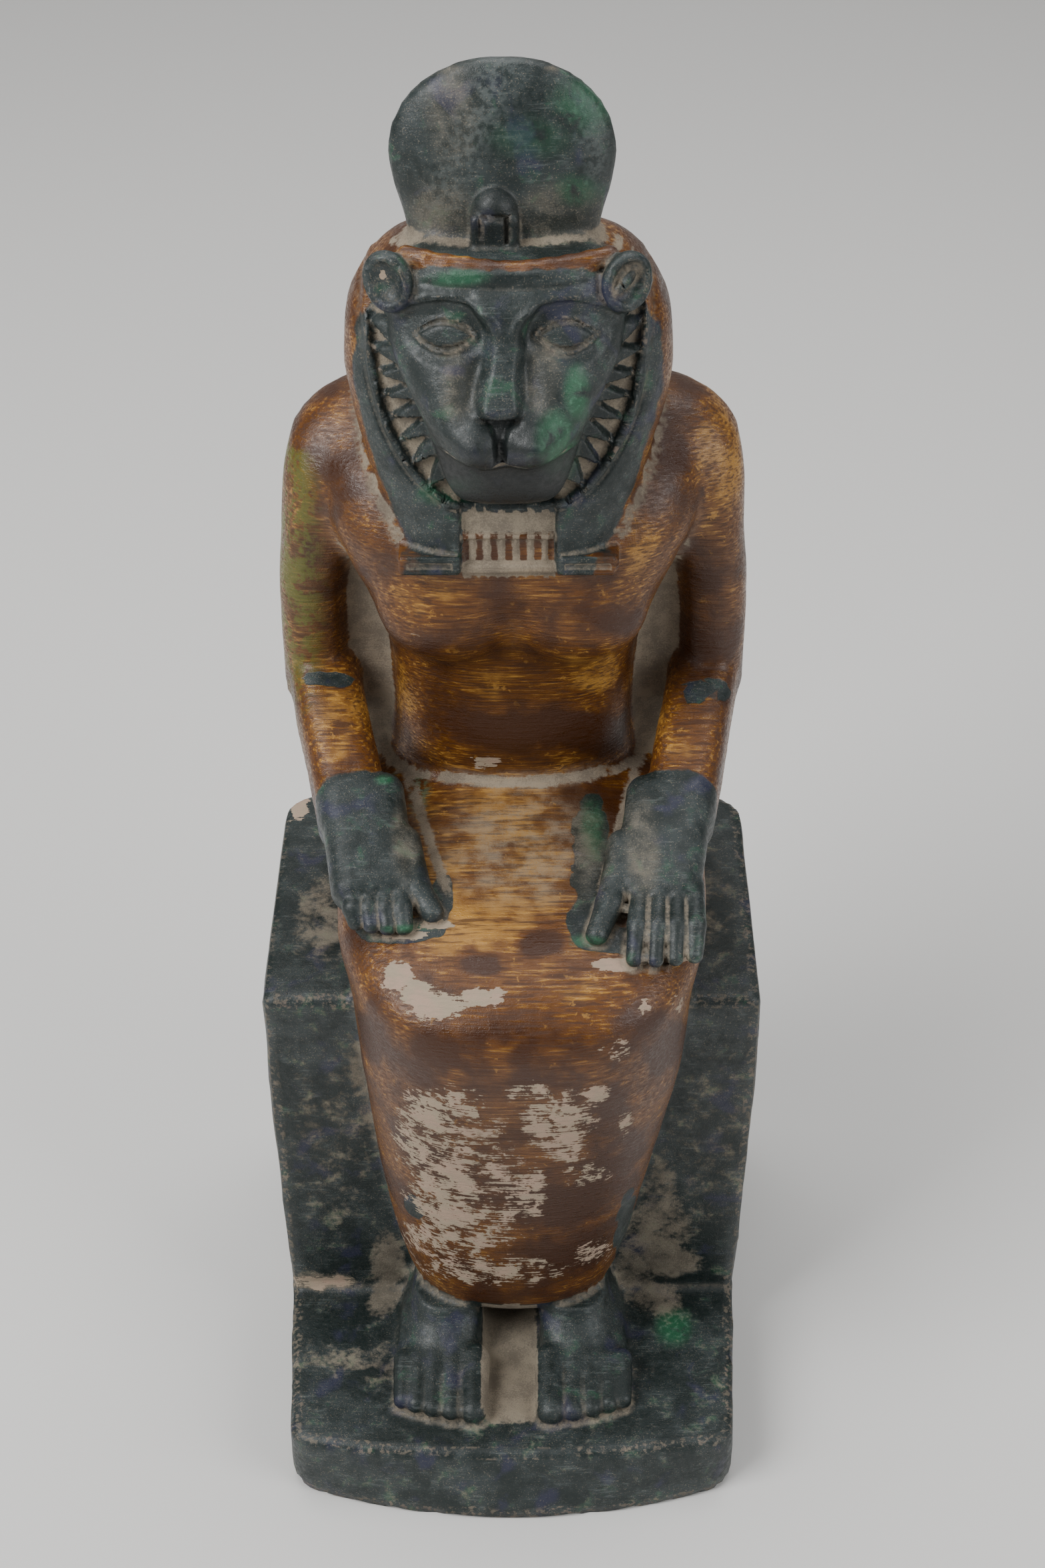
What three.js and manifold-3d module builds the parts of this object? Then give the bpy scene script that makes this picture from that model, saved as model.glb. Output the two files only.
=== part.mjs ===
// A seated lioness-headed goddess on a block throne, carved with her plinth from one piece of stone.
// Millimetres, +Z up. She faces -Y, and +X is on the viewer's right.
// The origin is the centre of the underside.
import * as THREE from "three";
import { LoftGeometry } from "three/addons/geometries/LoftGeometry.js";
import { mergeVertices } from "three/addons/utils/BufferGeometryUtils.js";
import Module from "manifold-3d";

// Plinth and throne
const plinthThickness = 17;
const plinthFrontWidth = 101;
const plinthToeMargin = 3; // top face left in front of the toes, at the corners
const plinthTopBow = 4; // how far the top front edge bows out at the middle
const plinthFootBow = 9.5; // the same for the bottom front edge
const plinthTopCorner = 4; // corner radii of the top and bottom front edges
const plinthFootCorner = 5.5;
const throneWidth = 110.5;
const throneFootWidth = 106.5; // the block narrows a little towards the plinth
const throneDepth = 75.5;
const seatHeight = 93; // above the plinth
const throneBackCorner = 9;
const seatEdgeChamfer = 1.6;

// The figure's free form is written for a figure this high, and one size scales it
const figureHeight = 197; // from the seat to the top of the sun disc
const FIGURE_DRAWN_AT = 197;
const LEG_DRAWN_AT = 93; // the seat height for which the legs are written
const footReach = 42.5; // from the throne's front to the toe tips
const figureShift = 1.6; // her lap sits a little to the viewer's right of the throne's middle
const bodyShift = -1.3; // her trunk and arms a little to the left of her lap
const headShift = -2.1; // and her head too
const faceShift = -0.4; // her face a little to the left of her wig's middle

const scale = figureHeight / FIGURE_DRAWN_AT;
const seatTop = plinthThickness + seatHeight;
const plinthReach = footReach * scale + plinthToeMargin + plinthFootBow;
const throneBackY = (throneDepth + plinthReach) / 2;
const throneFrontY = throneBackY - throneDepth;
const plinthFrontY = -throneBackY;

// Points and curves

// A point of the figure: x from her middle, b behind the throne's front face, z above the seat.
// Below the seat her height follows the throne's, so that her feet stand on the plinth.
function at(x, b, z) {
  const height = z < 0 ? (z * seatHeight) / LEG_DRAWN_AT : z * scale;
  return new THREE.Vector3(figureShift + x * scale, throneFrontY + b * scale, seatTop + height);
}

// A smooth curve through [position, value] knots, which never overshoots them. A number is a constant.
function through(knots) {
  if (typeof knots === "number") return () => knots;
  const rise = knots.slice(1).map(([p, v], i) => (v - knots[i][1]) / (p - knots[i][0]));
  const slope = knots.map((_, i) => {
    const before = rise[i - 1] ?? rise[i];
    const after = rise[i] ?? rise[i - 1];
    return before * after <= 0 ? 0 : (2 * before * after) / (before + after);
  });
  return (position) => {
    let i = 0;
    while (i < knots.length - 2 && position > knots[i + 1][0]) i++;
    const [start, value] = knots[i];
    const width = knots[i + 1][0] - start;
    const t = Math.min(Math.max((position - start) / width, 0), 1);
    const rest = 1 - t;
    const change = (knots[i + 1][1] - value) * t * t * (3 - 2 * t);
    return value + change + width * t * rest * (slope[i] * rest - slope[i + 1] * t);
  };
}

const bump = (distance, width) => Math.exp(-((distance / width) ** 2));
const smooth = (low, high, value) => {
  const t = Math.min(Math.max((value - low) / (high - low), 0), 1);
  return t * t * (3 - 2 * t);
};
const spaced = (from, to, count) =>
  Array.from({ length: count + 1 }, (_, i) => from + ((to - from) * i) / count);

// Solids

const wasm = await Module();
wasm.setup();

// A closed three.js geometry as a solid that can be joined and cut.
function solid(geometry) {
  const bare = new THREE.BufferGeometry();
  bare.setAttribute("position", geometry.attributes.position);
  bare.setIndex(geometry.index);
  const merged = mergeVertices(bare, 1e-4);
  return new wasm.Manifold(new wasm.Mesh({
    numProp: 3,
    vertProperties: merged.attributes.position.array,
    triVerts: new Uint32Array(merged.index.array),
  }));
}

const joined = (solids) => solids.reduce((whole, next) => whole.add(next));

// Level slices of a body: superellipses of a half width, from a front to a back.
// Each of these is a number or knots over z.
function sliced(levels, { half, front, back, power = 2.6, x = 0 }, around = 22) {
  const [halfAt, frontAt, backAt, powerAt, xAt] = [half, front, back, power, x].map(through);
  const sections = levels.map((z) => {
    const middle = (frontAt(z) + backAt(z)) / 2;
    const reach = (backAt(z) - frontAt(z)) / 2;
    const bend = 2 / powerAt(z);
    return spaced(0, 2 * Math.PI, around).slice(0, around).map((turn) => {
      const [c, s] = [Math.cos(turn), Math.sin(turn)];
      const across = halfAt(z) * Math.sign(c) * Math.abs(c) ** bend;
      return at(xAt(z) + across, middle + reach * Math.sign(s) * Math.abs(s) ** bend, z);
    });
  });
  return solid(new LoftGeometry(sections, { capStart: true, capEnd: true }));
}

// A round limb that tapers from one point and radius to another, with ball ends.
function limb([from, fromRadius], [to, toRadius], sides = 12) {
  const [start, end] = [at(...from), at(...to)];
  const [r0, r1] = [fromRadius * scale, toRadius * scale];
  const length = start.distanceTo(end);
  const lean = Math.asin((r0 - r1) / length); // angle at which the side leaves both balls
  const arcs = Math.max(2, Math.round(sides / 4));
  const profile = [
    ...spaced(-Math.PI / 2, lean, arcs).map((a) => [r0 * Math.cos(a), r0 * Math.sin(a)]),
    ...spaced(lean, Math.PI / 2, arcs).map((a) => [r1 * Math.cos(a), length + r1 * Math.sin(a)]),
  ];
  profile[0][0] = 0;
  profile[profile.length - 1][0] = 0;
  const geometry = new THREE.LatheGeometry(profile.map(([r, h]) => new THREE.Vector2(r, h)), sides);
  const turn = new THREE.Quaternion().setFromUnitVectors(
    new THREE.Vector3(0, 1, 0), end.clone().sub(start).normalize());
  return solid(geometry.applyQuaternion(turn).translate(start.x, start.y, start.z));
}

// A squared bar with rounded edges from one point to another, its width level.
function bar(from, to, width, height, corner) {
  const [start, end] = [at(...from), at(...to)];
  const [w, h, r] = [width, height, corner].map((size) => size * scale);
  const section = new THREE.Shape();
  [[1, -1, -0.5], [1, 1, 0], [-1, 1, 0.5], [-1, -1, 1]].forEach(([sx, sy, turn]) => {
    section.absarc(sx * (w / 2 - r), sy * (h / 2 - r), r, turn * Math.PI, (turn + 0.5) * Math.PI);
  });
  const depth = start.distanceTo(end);
  const geometry = new THREE.ExtrudeGeometry(section, { depth, bevelEnabled: false, curveSegments: 3 });
  const ahead = end.clone().sub(start).normalize();
  const across = new THREE.Vector3(0, 0, 1).cross(ahead).normalize();
  const up = ahead.clone().cross(across);
  const frame = new THREE.Matrix4().makeBasis(across, up, ahead).setPosition(start);
  return solid(geometry.applyMatrix4(frame));
}

// A ball stretched to three radii, turned about x, y and z by degrees.
function egg(centre, radii, degrees = [0, 0, 0], columns = 16) {
  const geometry = new THREE.SphereGeometry(1, columns, Math.round(columns / 2));
  geometry.scale(...radii.map((r) => r * scale));
  const [rx, ry, rz] = degrees.map(THREE.MathUtils.degToRad);
  geometry.applyQuaternion(new THREE.Quaternion().setFromEuler(new THREE.Euler(rx, ry, rz, "ZYX")));
  const middle = at(...centre);
  return solid(geometry.translate(middle.x, middle.y, middle.z));
}

// Plinth and throne

// The plinth's outline at one level: square at the back, and bowed in front between rounded corners.
function plinthOutline(z, bow, corner) {
  const half = plinthFrontWidth / 2;
  const cornerY = plinthFrontY + plinthFootBow;
  const bowAt = (x) => cornerY - bow * (1 - (x / half) ** 2);
  const round = (side) => spaced(0, Math.PI / 2, 6).map((a) => {
    const x = half - corner * (1 - Math.cos(a));
    return [side * x, bowAt(x) + corner * (1 - Math.sin(a))];
  });
  const front = spaced(-1, 1, 14).slice(1, -1).map((t) => [t * (half - corner), bowAt(t * (half - corner))]);
  const points = [
    [throneFootWidth / 2, throneFrontY],
    [throneFootWidth / 2, throneBackY],
    [-throneFootWidth / 2, throneBackY],
    [-throneFootWidth / 2, throneFrontY],
    ...round(-1),
    ...front,
    ...round(1).reverse(),
  ];
  return points.map(([x, y]) => new THREE.Vector3(x, y, z));
}

function plinth() {
  return solid(new LoftGeometry([
    plinthOutline(0, plinthFootBow, plinthFootCorner),
    plinthOutline(plinthThickness, plinthTopBow, plinthTopCorner),
  ], { capStart: true, capEnd: true }));
}

// The throne's outline at one level: square in front, with rounded corners at the back.
function throneOutline(z, width, inset) {
  const half = width / 2 - inset;
  const back = throneBackY - inset;
  const corner = (side) => spaced(0, Math.PI / 2, 6).map((a) => new THREE.Vector3(
    side * (half - throneBackCorner * (1 - Math.cos(a))),
    back - throneBackCorner * (1 - Math.sin(a)), z));
  return [
    new THREE.Vector3(-half, throneFrontY + inset, z),
    new THREE.Vector3(half, throneFrontY + inset, z),
    ...corner(1),
    ...corner(-1).reverse(),
  ];
}

function throne() {
  return solid(new LoftGeometry([
    throneOutline(plinthThickness / 2, throneFootWidth, 0),
    throneOutline(plinthThickness, throneFootWidth, 0),
    throneOutline(seatTop - seatEdgeChamfer, throneWidth, 0),
    throneOutline(seatTop, throneWidth, seatEdgeChamfer),
  ], { capStart: true, capEnd: true }));
}

// Body

// Lap and legs in their tight robe, from the hem up over the knees to the belly.
function robe() {
  return sliced([-81, -76, -66, -40, -12, 5, 12, 17, 21, 24.5, 27.5, 30, 32, 34], {
    half: [[-81, 22.5], [-76, 24.8], [-68, 27], [-50, 30], [-33, 32.3], [-6, 35.8], [7, 37.8], [15, 39.6],
      [20, 40.4], [24, 40.2], [28, 38.5], [31, 34.5], [33, 27], [34, 18]],
    front: [[-81, -17.5], [-76, -19.5], [-68, -21], [-50, -24.5], [-33, -27.5], [-15, -31], [0, -34],
      [10, -34.5], [17, -33], [22, -28.5], [26, -20.5], [29, -9], [31.5, 6], [33, 20], [34, 30]],
    back: [[-81, 24], [-10, 30], [5, 55], [15, 70], [34, 70]],
    power: [[-81, 2.5], [0, 2.7], [20, 2.9], [34, 2.9]],
    x: [[-81, -1.6], [-40, -0.8], [0, 0.6], [34, 0.6]],
  }, 26);
}

function torso() {
  return sliced([20, 34, 48, 60, 71, 80, 88, 95, 102, 109, 115, 119], {
    half: [[20, 30], [34, 27.5], [48, 26.2], [60, 26.6], [72, 28.5], [82, 32], [92, 36], [102, 39], [110, 39],
      [116, 34], [120, 26]],
    front: [[20, 36], [34, 36.5], [48, 35.5], [60, 33.5], [72, 30.5], [82, 27], [90, 25], [97, 25],
      [104, 27.5], [110, 32], [116, 40], [120, 50]],
    back: 68,
    power: 2.7,
    x: bodyShift,
  }, 20);
}

// The stone left standing between her arms and her sides, which is also her back and shoulders.
function back() {
  return sliced([-1, 50, 88, 97, 103, 108, 113, 117, 120, 122, 123.5], {
    half: [[-1, 44], [40, 46], [60, 47.2], [90, 48], [101, 48], [107, 47.2], [112, 45.4], [116, 42.2],
      [119, 37.5], [121, 31.5], [122.5, 23.5], [123.5, 14]],
    front: [[-1, 50], [60, 50], [85, 47.5], [95, 44], [103, 41], [110, 42], [118, 47], [123, 54]],
    back: 69,
    power: 3.2,
    x: bodyShift,
  }, 20);
}

// A squared upper arm that hangs straight, and a squared forearm that slopes from the elbow to the wrist.
function arm(side, wristX) {
  const upper = sliced([48, 60, 75, 88, 98, 106, 110, 113], {
    half: [[48, 7.4], [60, 7.5], [75, 7.6], [88, 8.6], [98, 10], [106, 10.2], [113, 7]],
    front: [[48, 46.5], [60, 45.2], [75, 44.4], [90, 43], [100, 42.5], [107, 44], [113, 49]],
    back: 68.6,
    power: 2.9,
    x: [[48, bodyShift + side * 44.2], [75, bodyShift + side * 43.6], [90, bodyShift + side * 40.8],
      [100, bodyShift + side * 37.8], [113, bodyShift + side * 33]],
  }, 14);
  const forearm = bar([wristX, 13.5, 35.4], [bodyShift + side * 45.2, 61, 57.4], 15.4, 15.6, 5);
  return joined([upper, forearm]);
}

// Hands: a flat palm that slopes down the lap, and digits side by side.
// Each finger is given by where its knuckle and its tip are across the lap.
function hand({ wrist, knuckles, fingers, reach, top, drop, thumb }) {
  const digits = fingers.map(([knuckleX, tipX], i) => {
    const shorter = [0, 0, 0.5, 1.4][i];
    const knuckle = [knuckleX, knuckles + 2, top - 3.2];
    const tip = [tipX, reach + shorter + 1.6, top - 5 - drop];
    return limb([knuckle, 2.3], [tip, 1.9], 6);
  });
  const palmEnd = [(fingers[1][0] + fingers[2][0]) / 2, knuckles - 1.5, top - 5];
  const [root, bend, tip] = thumb;
  return joined([
    bar(palmEnd, wrist, 18.6, 10.5, 4.4),
    ...digits,
    limb([root, 3.6], [bend, 3], 6),
    limb([bend, 3], [tip, 2.4], 6),
  ]);
}

// Feet: an instep that slopes from under the hem to the toes, the big toe innermost
function foot(side) {
  const instep = sliced([-94, -91, -88, -85, -82, -79], {
    half: [[-94, 10.4], [-89, 9.8], [-85, 8.7], [-79, 8]],
    front: [[-94, -37], [-91, -36.5], [-88, -31], [-85, -25], [-82, -21], [-79, -19]],
    back: 5,
    power: 2.8,
    x: [[-94, side * 17.2 - 1.6], [-88, side * 16.4 - 1.8], [-83, side * 14.8 - 2.1],
      [-79, side * 14.6 - 2.2]],
  }, 18);
  const toes = [8.9, 14, 18.2, 22, 25.4].map((x, i) => {
    const radius = [3.3, 2.4, 2.3, 2.2, 2][i];
    const reach = footReach - [0, 0.8, 1.8, 3, 4.4][i];
    const across = side * x - 1.6;
    return limb([[across, -26, -88.5], radius + 0.4], [[across, radius - reach, -90.6], radius], 6);
  });
  return joined([instep, ...toes]);
}

// Head

const headX = headShift;
const faceX = headX + faceShift;
const wigEnd = 96;
const wig = {
  half: [[wigEnd, 22.8], [99, 23.5], [105, 25.4], [112, 28], [120, 30.6], [128, 32.5], [135, 33.4],
    [143, 33], [149, 30.8], [156, 26.8], [160, 22.6], [162.5, 17.5], [164, 11]],
  front: [[wigEnd, 22.4], [105, 23], [118, 24], [130, 25], [142, 26], [150, 27], [156, 29], [160, 33],
    [164, 42]],
  back: [[wigEnd, 62], [105, 67], [115, 71], [125, 73], [140, 73], [150, 70], [157, 64], [161, 57],
    [164, 51]],
  power: [[wigEnd, 3.4], [130, 3], [150, 2.7], [164, 2.4]],
  x: headX,
};

// How far behind the throne's front face the wig's front surface is, at x from the head's middle.
const [wigHalf, wigFront, wigBack, wigPower] = [wig.half, wig.front, wig.back, wig.power].map(through);
function onWig(x, z) {
  const reach = (wigBack(z) - wigFront(z)) / 2;
  const across = Math.min(Math.abs(x) / wigHalf(z), 0.98);
  return wigFront(z) + reach * (1 - (1 - across ** wigPower(z)) ** (1 / wigPower(z)));
}

// The wig falls to two lappets on the chest, with her throat and a collar strip sunk between them.
function wigWithLappets() {
  const whole = sliced([wigEnd, 101, 107, 115, 124, 133, 142, 149, 154, 158, 161, 164], wig, 28);
  const strip = new THREE.BoxGeometry(19.5 * scale, 10 * scale, 40 * scale);
  const middle = at(headX, 19.6, 103);
  return whole.subtract(solid(strip.translate(middle.x, middle.y, middle.z)));
}

// The trim along one lappet's lower end.
function lappetTrim(side) {
  const height = 4.4;
  const trim = new THREE.BoxGeometry(12.8 * scale, 12.5 * scale, height * scale);
  const middle = at(headX + side * 16.2, 28.2, wigEnd + height / 2);
  return solid(trim.translate(middle.x, middle.y, middle.z));
}

// Face: half width of its outline, and how far its middle stands behind the throne's front, over height.
const chinZ = 113;
const faceHalf = through([[chinZ, 4.5], [114.5, 8.9], [117.5, 11.5], [122, 13.2], [129, 15], [134, 17.2],
  [138, 19.2], [142, 21.1], [146, 22.4], [152, 23], [156, 22.4], [160, 20], [162, 17]]);
const faceMiddle = through([[chinZ, 23], [114.5, 17.5], [117, 14.6], [121, 13.2], [125.5, 12.4],
  [129.5, 10.6], [133, 10.2], [137, 12.4], [142, 15.4], [147, 17.8], [152, 19.4], [157, 20.6], [162, 22.5]]);

const eye = { x: 11.7, z: 150.8, half: 6.4, rise: 3, slant: -0.08 };
const noseTip = 138.8;
const mouthZ = 127.4;

// How much the carving raises the face at x, z: bridge, brows, eyes, nose, cleft and mouth.
function faceRelief(x, z) {
  const side = Math.abs(x);
  const bridgeHalf = 2.9 + 0.9 * smooth(147, 140, z) + 3.2 * smooth(151, 158, z);
  const bridge = 3 * (1 - smooth(bridgeHalf - 1, bridgeHalf + 1.2, side))
    * smooth(noseTip - 2.5, noseTip + 0.8, z) * (1 - smooth(155, 160, z));
  const eyeLine = eye.z + eye.slant * (side - eye.x);
  const browZ = eyeLine + 4.4 + 1.6 * (1 - ((side - eye.x) / 8.5) ** 2);
  const brow = 0.9 * bump(z - browZ, 1.3) * smooth(2.5, 5, side) * (1 - smooth(19, 21, side));
  const almond = Math.hypot((side - eye.x) / eye.half, (z - eyeLine) / eye.rise);
  const socket = -1.4 * bump(almond, 1.5);
  const ball = 1.4 * (1 - smooth(0.5, 0.95, almond));
  const lid = 0.7 * bump(almond - 1.12, 0.16);
  const lobes = 2.3 * bump(side - 6.5, 4.7) * bump(z - 131.8, 4.9);
  const cleft = -2.4 * bump(side, 1.3) * smooth(mouthZ - 1, mouthZ + 1.5, z)
    * (1 - smooth(noseTip - 2.4, noseTip, z));
  const nostril = -1.2 * bump(side - 3, 1.4) * bump(z - (noseTip - 2.2), 1.2);
  const lipZ = mouthZ + 1.6 * smooth(1, 13, side) - 0.9 * bump(side - 4.5, 2.6);
  const mouth = -1.6 * bump(z - lipZ, 1.1) * (1 - smooth(11, 13, side));
  const chin = -1.4 * (1 - smooth(lipZ - 1.5, lipZ, z));
  return bridge + brow + socket + ball + lid + lobes + cleft + nostril + mouth + chin;
}

function faceFront(x, z) {
  const across = Math.min(Math.abs(x) / faceHalf(z), 1);
  const edge = onWig(faceHalf(z), Math.min(z, 154)) - 2.2;
  const fall = (1 - (1 - across ** 3) ** 0.64);
  return faceMiddle(z) + (edge - faceMiddle(z)) * fall - faceRelief(x, z) * (1 - across ** 8);
}

function face() {
  const levels = [...spaced(chinZ, 122, 3), ...spaced(124.5, 162, 20)];
  const sections = levels.map((z) => {
    const front = spaced(-1, 1, 20).map((t) => t * faceHalf(z));
    return [
      ...front.map((x) => at(faceX + x, faceFront(x, z), z)),
      at(faceX + faceHalf(z), 46, z),
      at(faceX - faceHalf(z), 46, z),
    ];
  });
  return solid(new LoftGeometry(sections, { capStart: true, capEnd: true }));
}

// The mane ruff: a U-shaped rim round the face, with pointed locks between the two.
const ruffFoot = 110;
const ruffHalf = through([[ruffFoot, 3], [111, 8], [113.2, 13], [116, 16.8], [120, 20], [124, 22.3],
  [128.4, 24.2], [134, 25.8], [140.4, 26.8], [146, 27.4], [150, 27.6], [156, 26.8], [160, 25]]);

function ruff() {
  const side = (s) => [...spaced(159, 114, 8), 111.3].map((z) => [s * ruffHalf(z), z]);
  const route = [...side(-1), [0, ruffFoot], ...side(1).reverse()];
  const curve = new THREE.CatmullRomCurve3(route.map(([x, z]) => at(faceX + x, onWig(x, z) - 0.2, z)));
  const section = new THREE.Shape();
  section.absarc(0, 0, 1.2 * scale, 0, 2 * Math.PI);
  const rim = new THREE.ExtrudeGeometry(section, { steps: 28, curveSegments: 4, extrudePath: curve });
  const locks = [-1, 1].flatMap((s) => spaced(116.5, 154, 9).map((z) => lock(s, z)));
  return joined([solid(rim), ...locks]);
}

// One pointed lock: a low pyramid whose base is on the face's edge and whose tip is at the rim.
function lock(side, z) {
  const inner = faceHalf(z) - 1;
  const tipZ = z - 4.2 * (1 - smooth(117, 148, z));
  const outer = ruffHalf(tipZ) - 0.6;
  const [low, high] = [z - 1.7, z + 1.7];
  const points = [
    [inner, low, 2.4], [inner, high, 2.4], [outer, tipZ, 2.4], [inner + 0.6, z, -2],
  ].map(([x, height, depth]) => at(faceX + side * x, onWig(x, height) + depth, height));
  const faces = side > 0 ? [0, 3, 1, 1, 3, 2, 2, 3, 0, 0, 1, 2] : [0, 1, 3, 1, 2, 3, 2, 0, 3, 0, 2, 1];
  const geometry = new THREE.BufferGeometry().setFromPoints(points).setIndex(faces);
  const made = solid(geometry);
  return made.volume() > 0 ? made : solid(geometry.setIndex(faces.reverse()));
}

// A cupped round ear at the top corner of the face.
function ear(side) {
  const centre = [headX + side * 22.6, 26.5, 159.5];
  const cup = egg(centre, [5.2, 3.6, 6], [-12, side * 28, side * 12], 12);
  const hollow = egg([centre[0] + side * 0.2, centre[1] - 3.4, centre[2] - 0.6], [3.4, 1.8, 4.2],
    [-12, side * 28, side * 12], 10);
  return cup.subtract(hollow);
}

// The rounded band that edges the wig across her forehead.
function browBand() {
  const route = spaced(-1, 1, 8).map((t) => at(headX + 19 * t, 24.6 + 4.4 * t * t, 161.8 + 1.1 * t * t));
  const section = new THREE.Shape();
  section.absarc(0, 0, 1.9 * scale, 0, 2 * Math.PI);
  const curve = new THREE.CatmullRomCurve3(route);
  return solid(new THREE.ExtrudeGeometry(section, { steps: 12, curveSegments: 5, extrudePath: curve }));
}

// The sun disc stands on her head: flattened above its middle, and straighter below.
function disc() {
  const widest = 179;
  const halfWidest = 21.8;
  const rise = 18.28; // semi-height above the widest level, before the crown is cut flat
  const upper = spaced(0, 80, 6).map((a) => widest + rise * Math.sin(THREE.MathUtils.degToRad(a)));
  const halfAbove = (z) => halfWidest * Math.sqrt(1 - ((z - widest) / rise) ** 2);
  const halfBelow = through([[154, 17], [160, 18], [167, 19.4], [173, 21], [widest, halfWidest]]);
  const half = [154, 162, 168, 174].map((z) => [z, halfBelow(z)]).concat(upper.map((z) => [z, halfAbove(z)]));
  return sliced(half.map(([z]) => z), {
    half,
    front: [[154, 35.5], [165, 36.5], [180, 37.5], [190, 39.3], [197, 42]],
    back: [[154, 50], [180, 49.5], [190, 48.3], [197, 45]],
    power: 2.3,
    x: headX - 1,
  });
}

// The rearing cobra at the foot of the disc, cut as a plain arch with two upright grooves.
function uraeus() {
  const [half, foot, crown] = [4.6, -3.1, 8.1];
  const outline = new THREE.Shape();
  outline.moveTo(-half, foot);
  outline.lineTo(half, foot);
  outline.lineTo(half, crown);
  outline.absarc(0, crown, half, 0, Math.PI);
  const arch = new THREE.ExtrudeGeometry(outline, { depth: 8, bevelEnabled: false, curveSegments: 10 });
  const grooves = [-1, 1].map((side) => new THREE.BoxGeometry(0.9, 8.6, 2).translate(side * 2.5, 3.6, 8));
  const base = at(headX - 2.6, 41, 161.5);
  const [body, ...cuts] = [arch, ...grooves].map((geometry) => solid(
    geometry.rotateX(Math.PI / 2).scale(scale, scale, scale).translate(base.x, base.y, base.z)));
  return cuts.reduce((whole, cut) => whole.subtract(cut), body);
}

// The whole, in one piece of stone

const statue = joined([
  plinth(),
  throne(),
  robe(),
  torso(),
  back(),
  arm(-1, -34.8),
  arm(1, 33.6),
  hand({
    wrist: [-35, 23, 42.6],
    knuckles: -2,
    fingers: [[-25.4, -24.2], [-28.8, -27.6], [-32.2, -31], [-35.6, -34.2]],
    reach: -11.8,
    top: 37.2,
    drop: 2.4,
    thumb: [[-24.6, 9, 37.2], [-21.4, -2, 32.6], [-18.2, -6.6, 30.4]],
  }),
  hand({
    wrist: [33.2, 22, 41.6],
    knuckles: -3.5,
    fingers: [[25.6, 24], [29.6, 28.4], [33.5, 32.6], [37.2, 36.6]],
    reach: -19.4,
    top: 36.8,
    drop: 4.6,
    thumb: [[22.4, 8, 37], [19.2, -5, 32], [16.4, -12.6, 29.6]],
  }),
  foot(-1),
  foot(1),
  wigWithLappets(),
  lappetTrim(-1),
  lappetTrim(1),
  face(),
  ruff(),
  ear(-1),
  ear(1),
  browBand(),
  disc(),
  uraeus(),
]);

function geometryOf(whole) {
  const mesh = whole.getMesh();
  const geometry = new THREE.BufferGeometry();
  geometry.setAttribute("position", new THREE.BufferAttribute(new Float32Array(mesh.vertProperties), 3));
  geometry.setIndex(new THREE.BufferAttribute(mesh.triVerts, 1));
  geometry.computeVertexNormals();
  return geometry;
}

const stone = new THREE.MeshStandardMaterial({ color: 0x5c4124, roughness: 0.5, metalness: 0 });
const goddess = new THREE.Mesh(geometryOf(statue), stone);
goddess.name = "seated_sekhmet";

const model = new THREE.Group();
model.add(goddess);
export default model;
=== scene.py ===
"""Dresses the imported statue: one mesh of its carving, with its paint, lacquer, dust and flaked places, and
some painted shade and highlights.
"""
import math

import bmesh
import bpy
import numpy as np
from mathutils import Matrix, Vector


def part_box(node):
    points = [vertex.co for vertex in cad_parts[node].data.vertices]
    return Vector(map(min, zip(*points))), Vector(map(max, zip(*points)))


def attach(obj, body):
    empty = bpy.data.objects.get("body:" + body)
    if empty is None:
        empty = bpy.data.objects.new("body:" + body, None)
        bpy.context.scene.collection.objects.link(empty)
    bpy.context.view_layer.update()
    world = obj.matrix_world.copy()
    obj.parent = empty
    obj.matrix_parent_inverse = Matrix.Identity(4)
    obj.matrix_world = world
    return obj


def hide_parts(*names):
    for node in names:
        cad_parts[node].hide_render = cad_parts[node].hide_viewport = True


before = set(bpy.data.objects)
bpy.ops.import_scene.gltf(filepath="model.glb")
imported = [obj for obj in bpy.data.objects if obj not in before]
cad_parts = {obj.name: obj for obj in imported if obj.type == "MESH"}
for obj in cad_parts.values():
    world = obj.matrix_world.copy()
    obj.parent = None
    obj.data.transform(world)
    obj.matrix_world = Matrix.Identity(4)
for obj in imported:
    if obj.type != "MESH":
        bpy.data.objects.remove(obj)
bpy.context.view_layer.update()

# Sizes, in millimetres. The figure's own coordinates are x from her middle, b behind the throne's
# front face, and z above the seat.
MM = 0.001
NODE = "seated_sekhmet"
FIGURE_HEIGHT = 197
THRONE_DEPTH = 75.5
PLINTH_THICKNESS = 17
FIGURE_SHIFT = 1.6
BODY_X = -1.3
HEAD_X = -2.1
FACE_X = HEAD_X - 0.4

low, high = (np.array(corner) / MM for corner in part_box(NODE))
SEAT_TOP = high[2] - FIGURE_HEIGHT
THRONE_BACK_Y = high[1]
THRONE_FRONT_Y = THRONE_BACK_Y - THRONE_DEPTH
THRONE_HALF = (high[0] - low[0]) / 2
THRONE_FOOT_HALF = THRONE_HALF - 2
PLINTH_REACH = THRONE_FRONT_Y - low[1]
ORIGIN = np.array([FIGURE_SHIFT, THRONE_FRONT_Y, SEAT_TOP])
PLINTH_TOP = PLINTH_THICKNESS - SEAT_TOP
UNDERSIDE = -SEAT_TOP
FAR = 30.0
REACH = 7.0  # how far outside its own box a form is still worked out

# The photo's camera
FOCAL_PX = 3800
FRAME_HEIGHT_PX = 2353
FRAME_MIDDLE_PX = 784
THRONE_MIDDLE_PX = 768
LOOK_DOWN = math.radians(36.8)
SEAT_EDGE_DEPTH = 558  # from the camera to the throne's top front edge, along its view
SEAT_EDGE_DROP = 47.6  # and how far below the middle of the view that edge is

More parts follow.
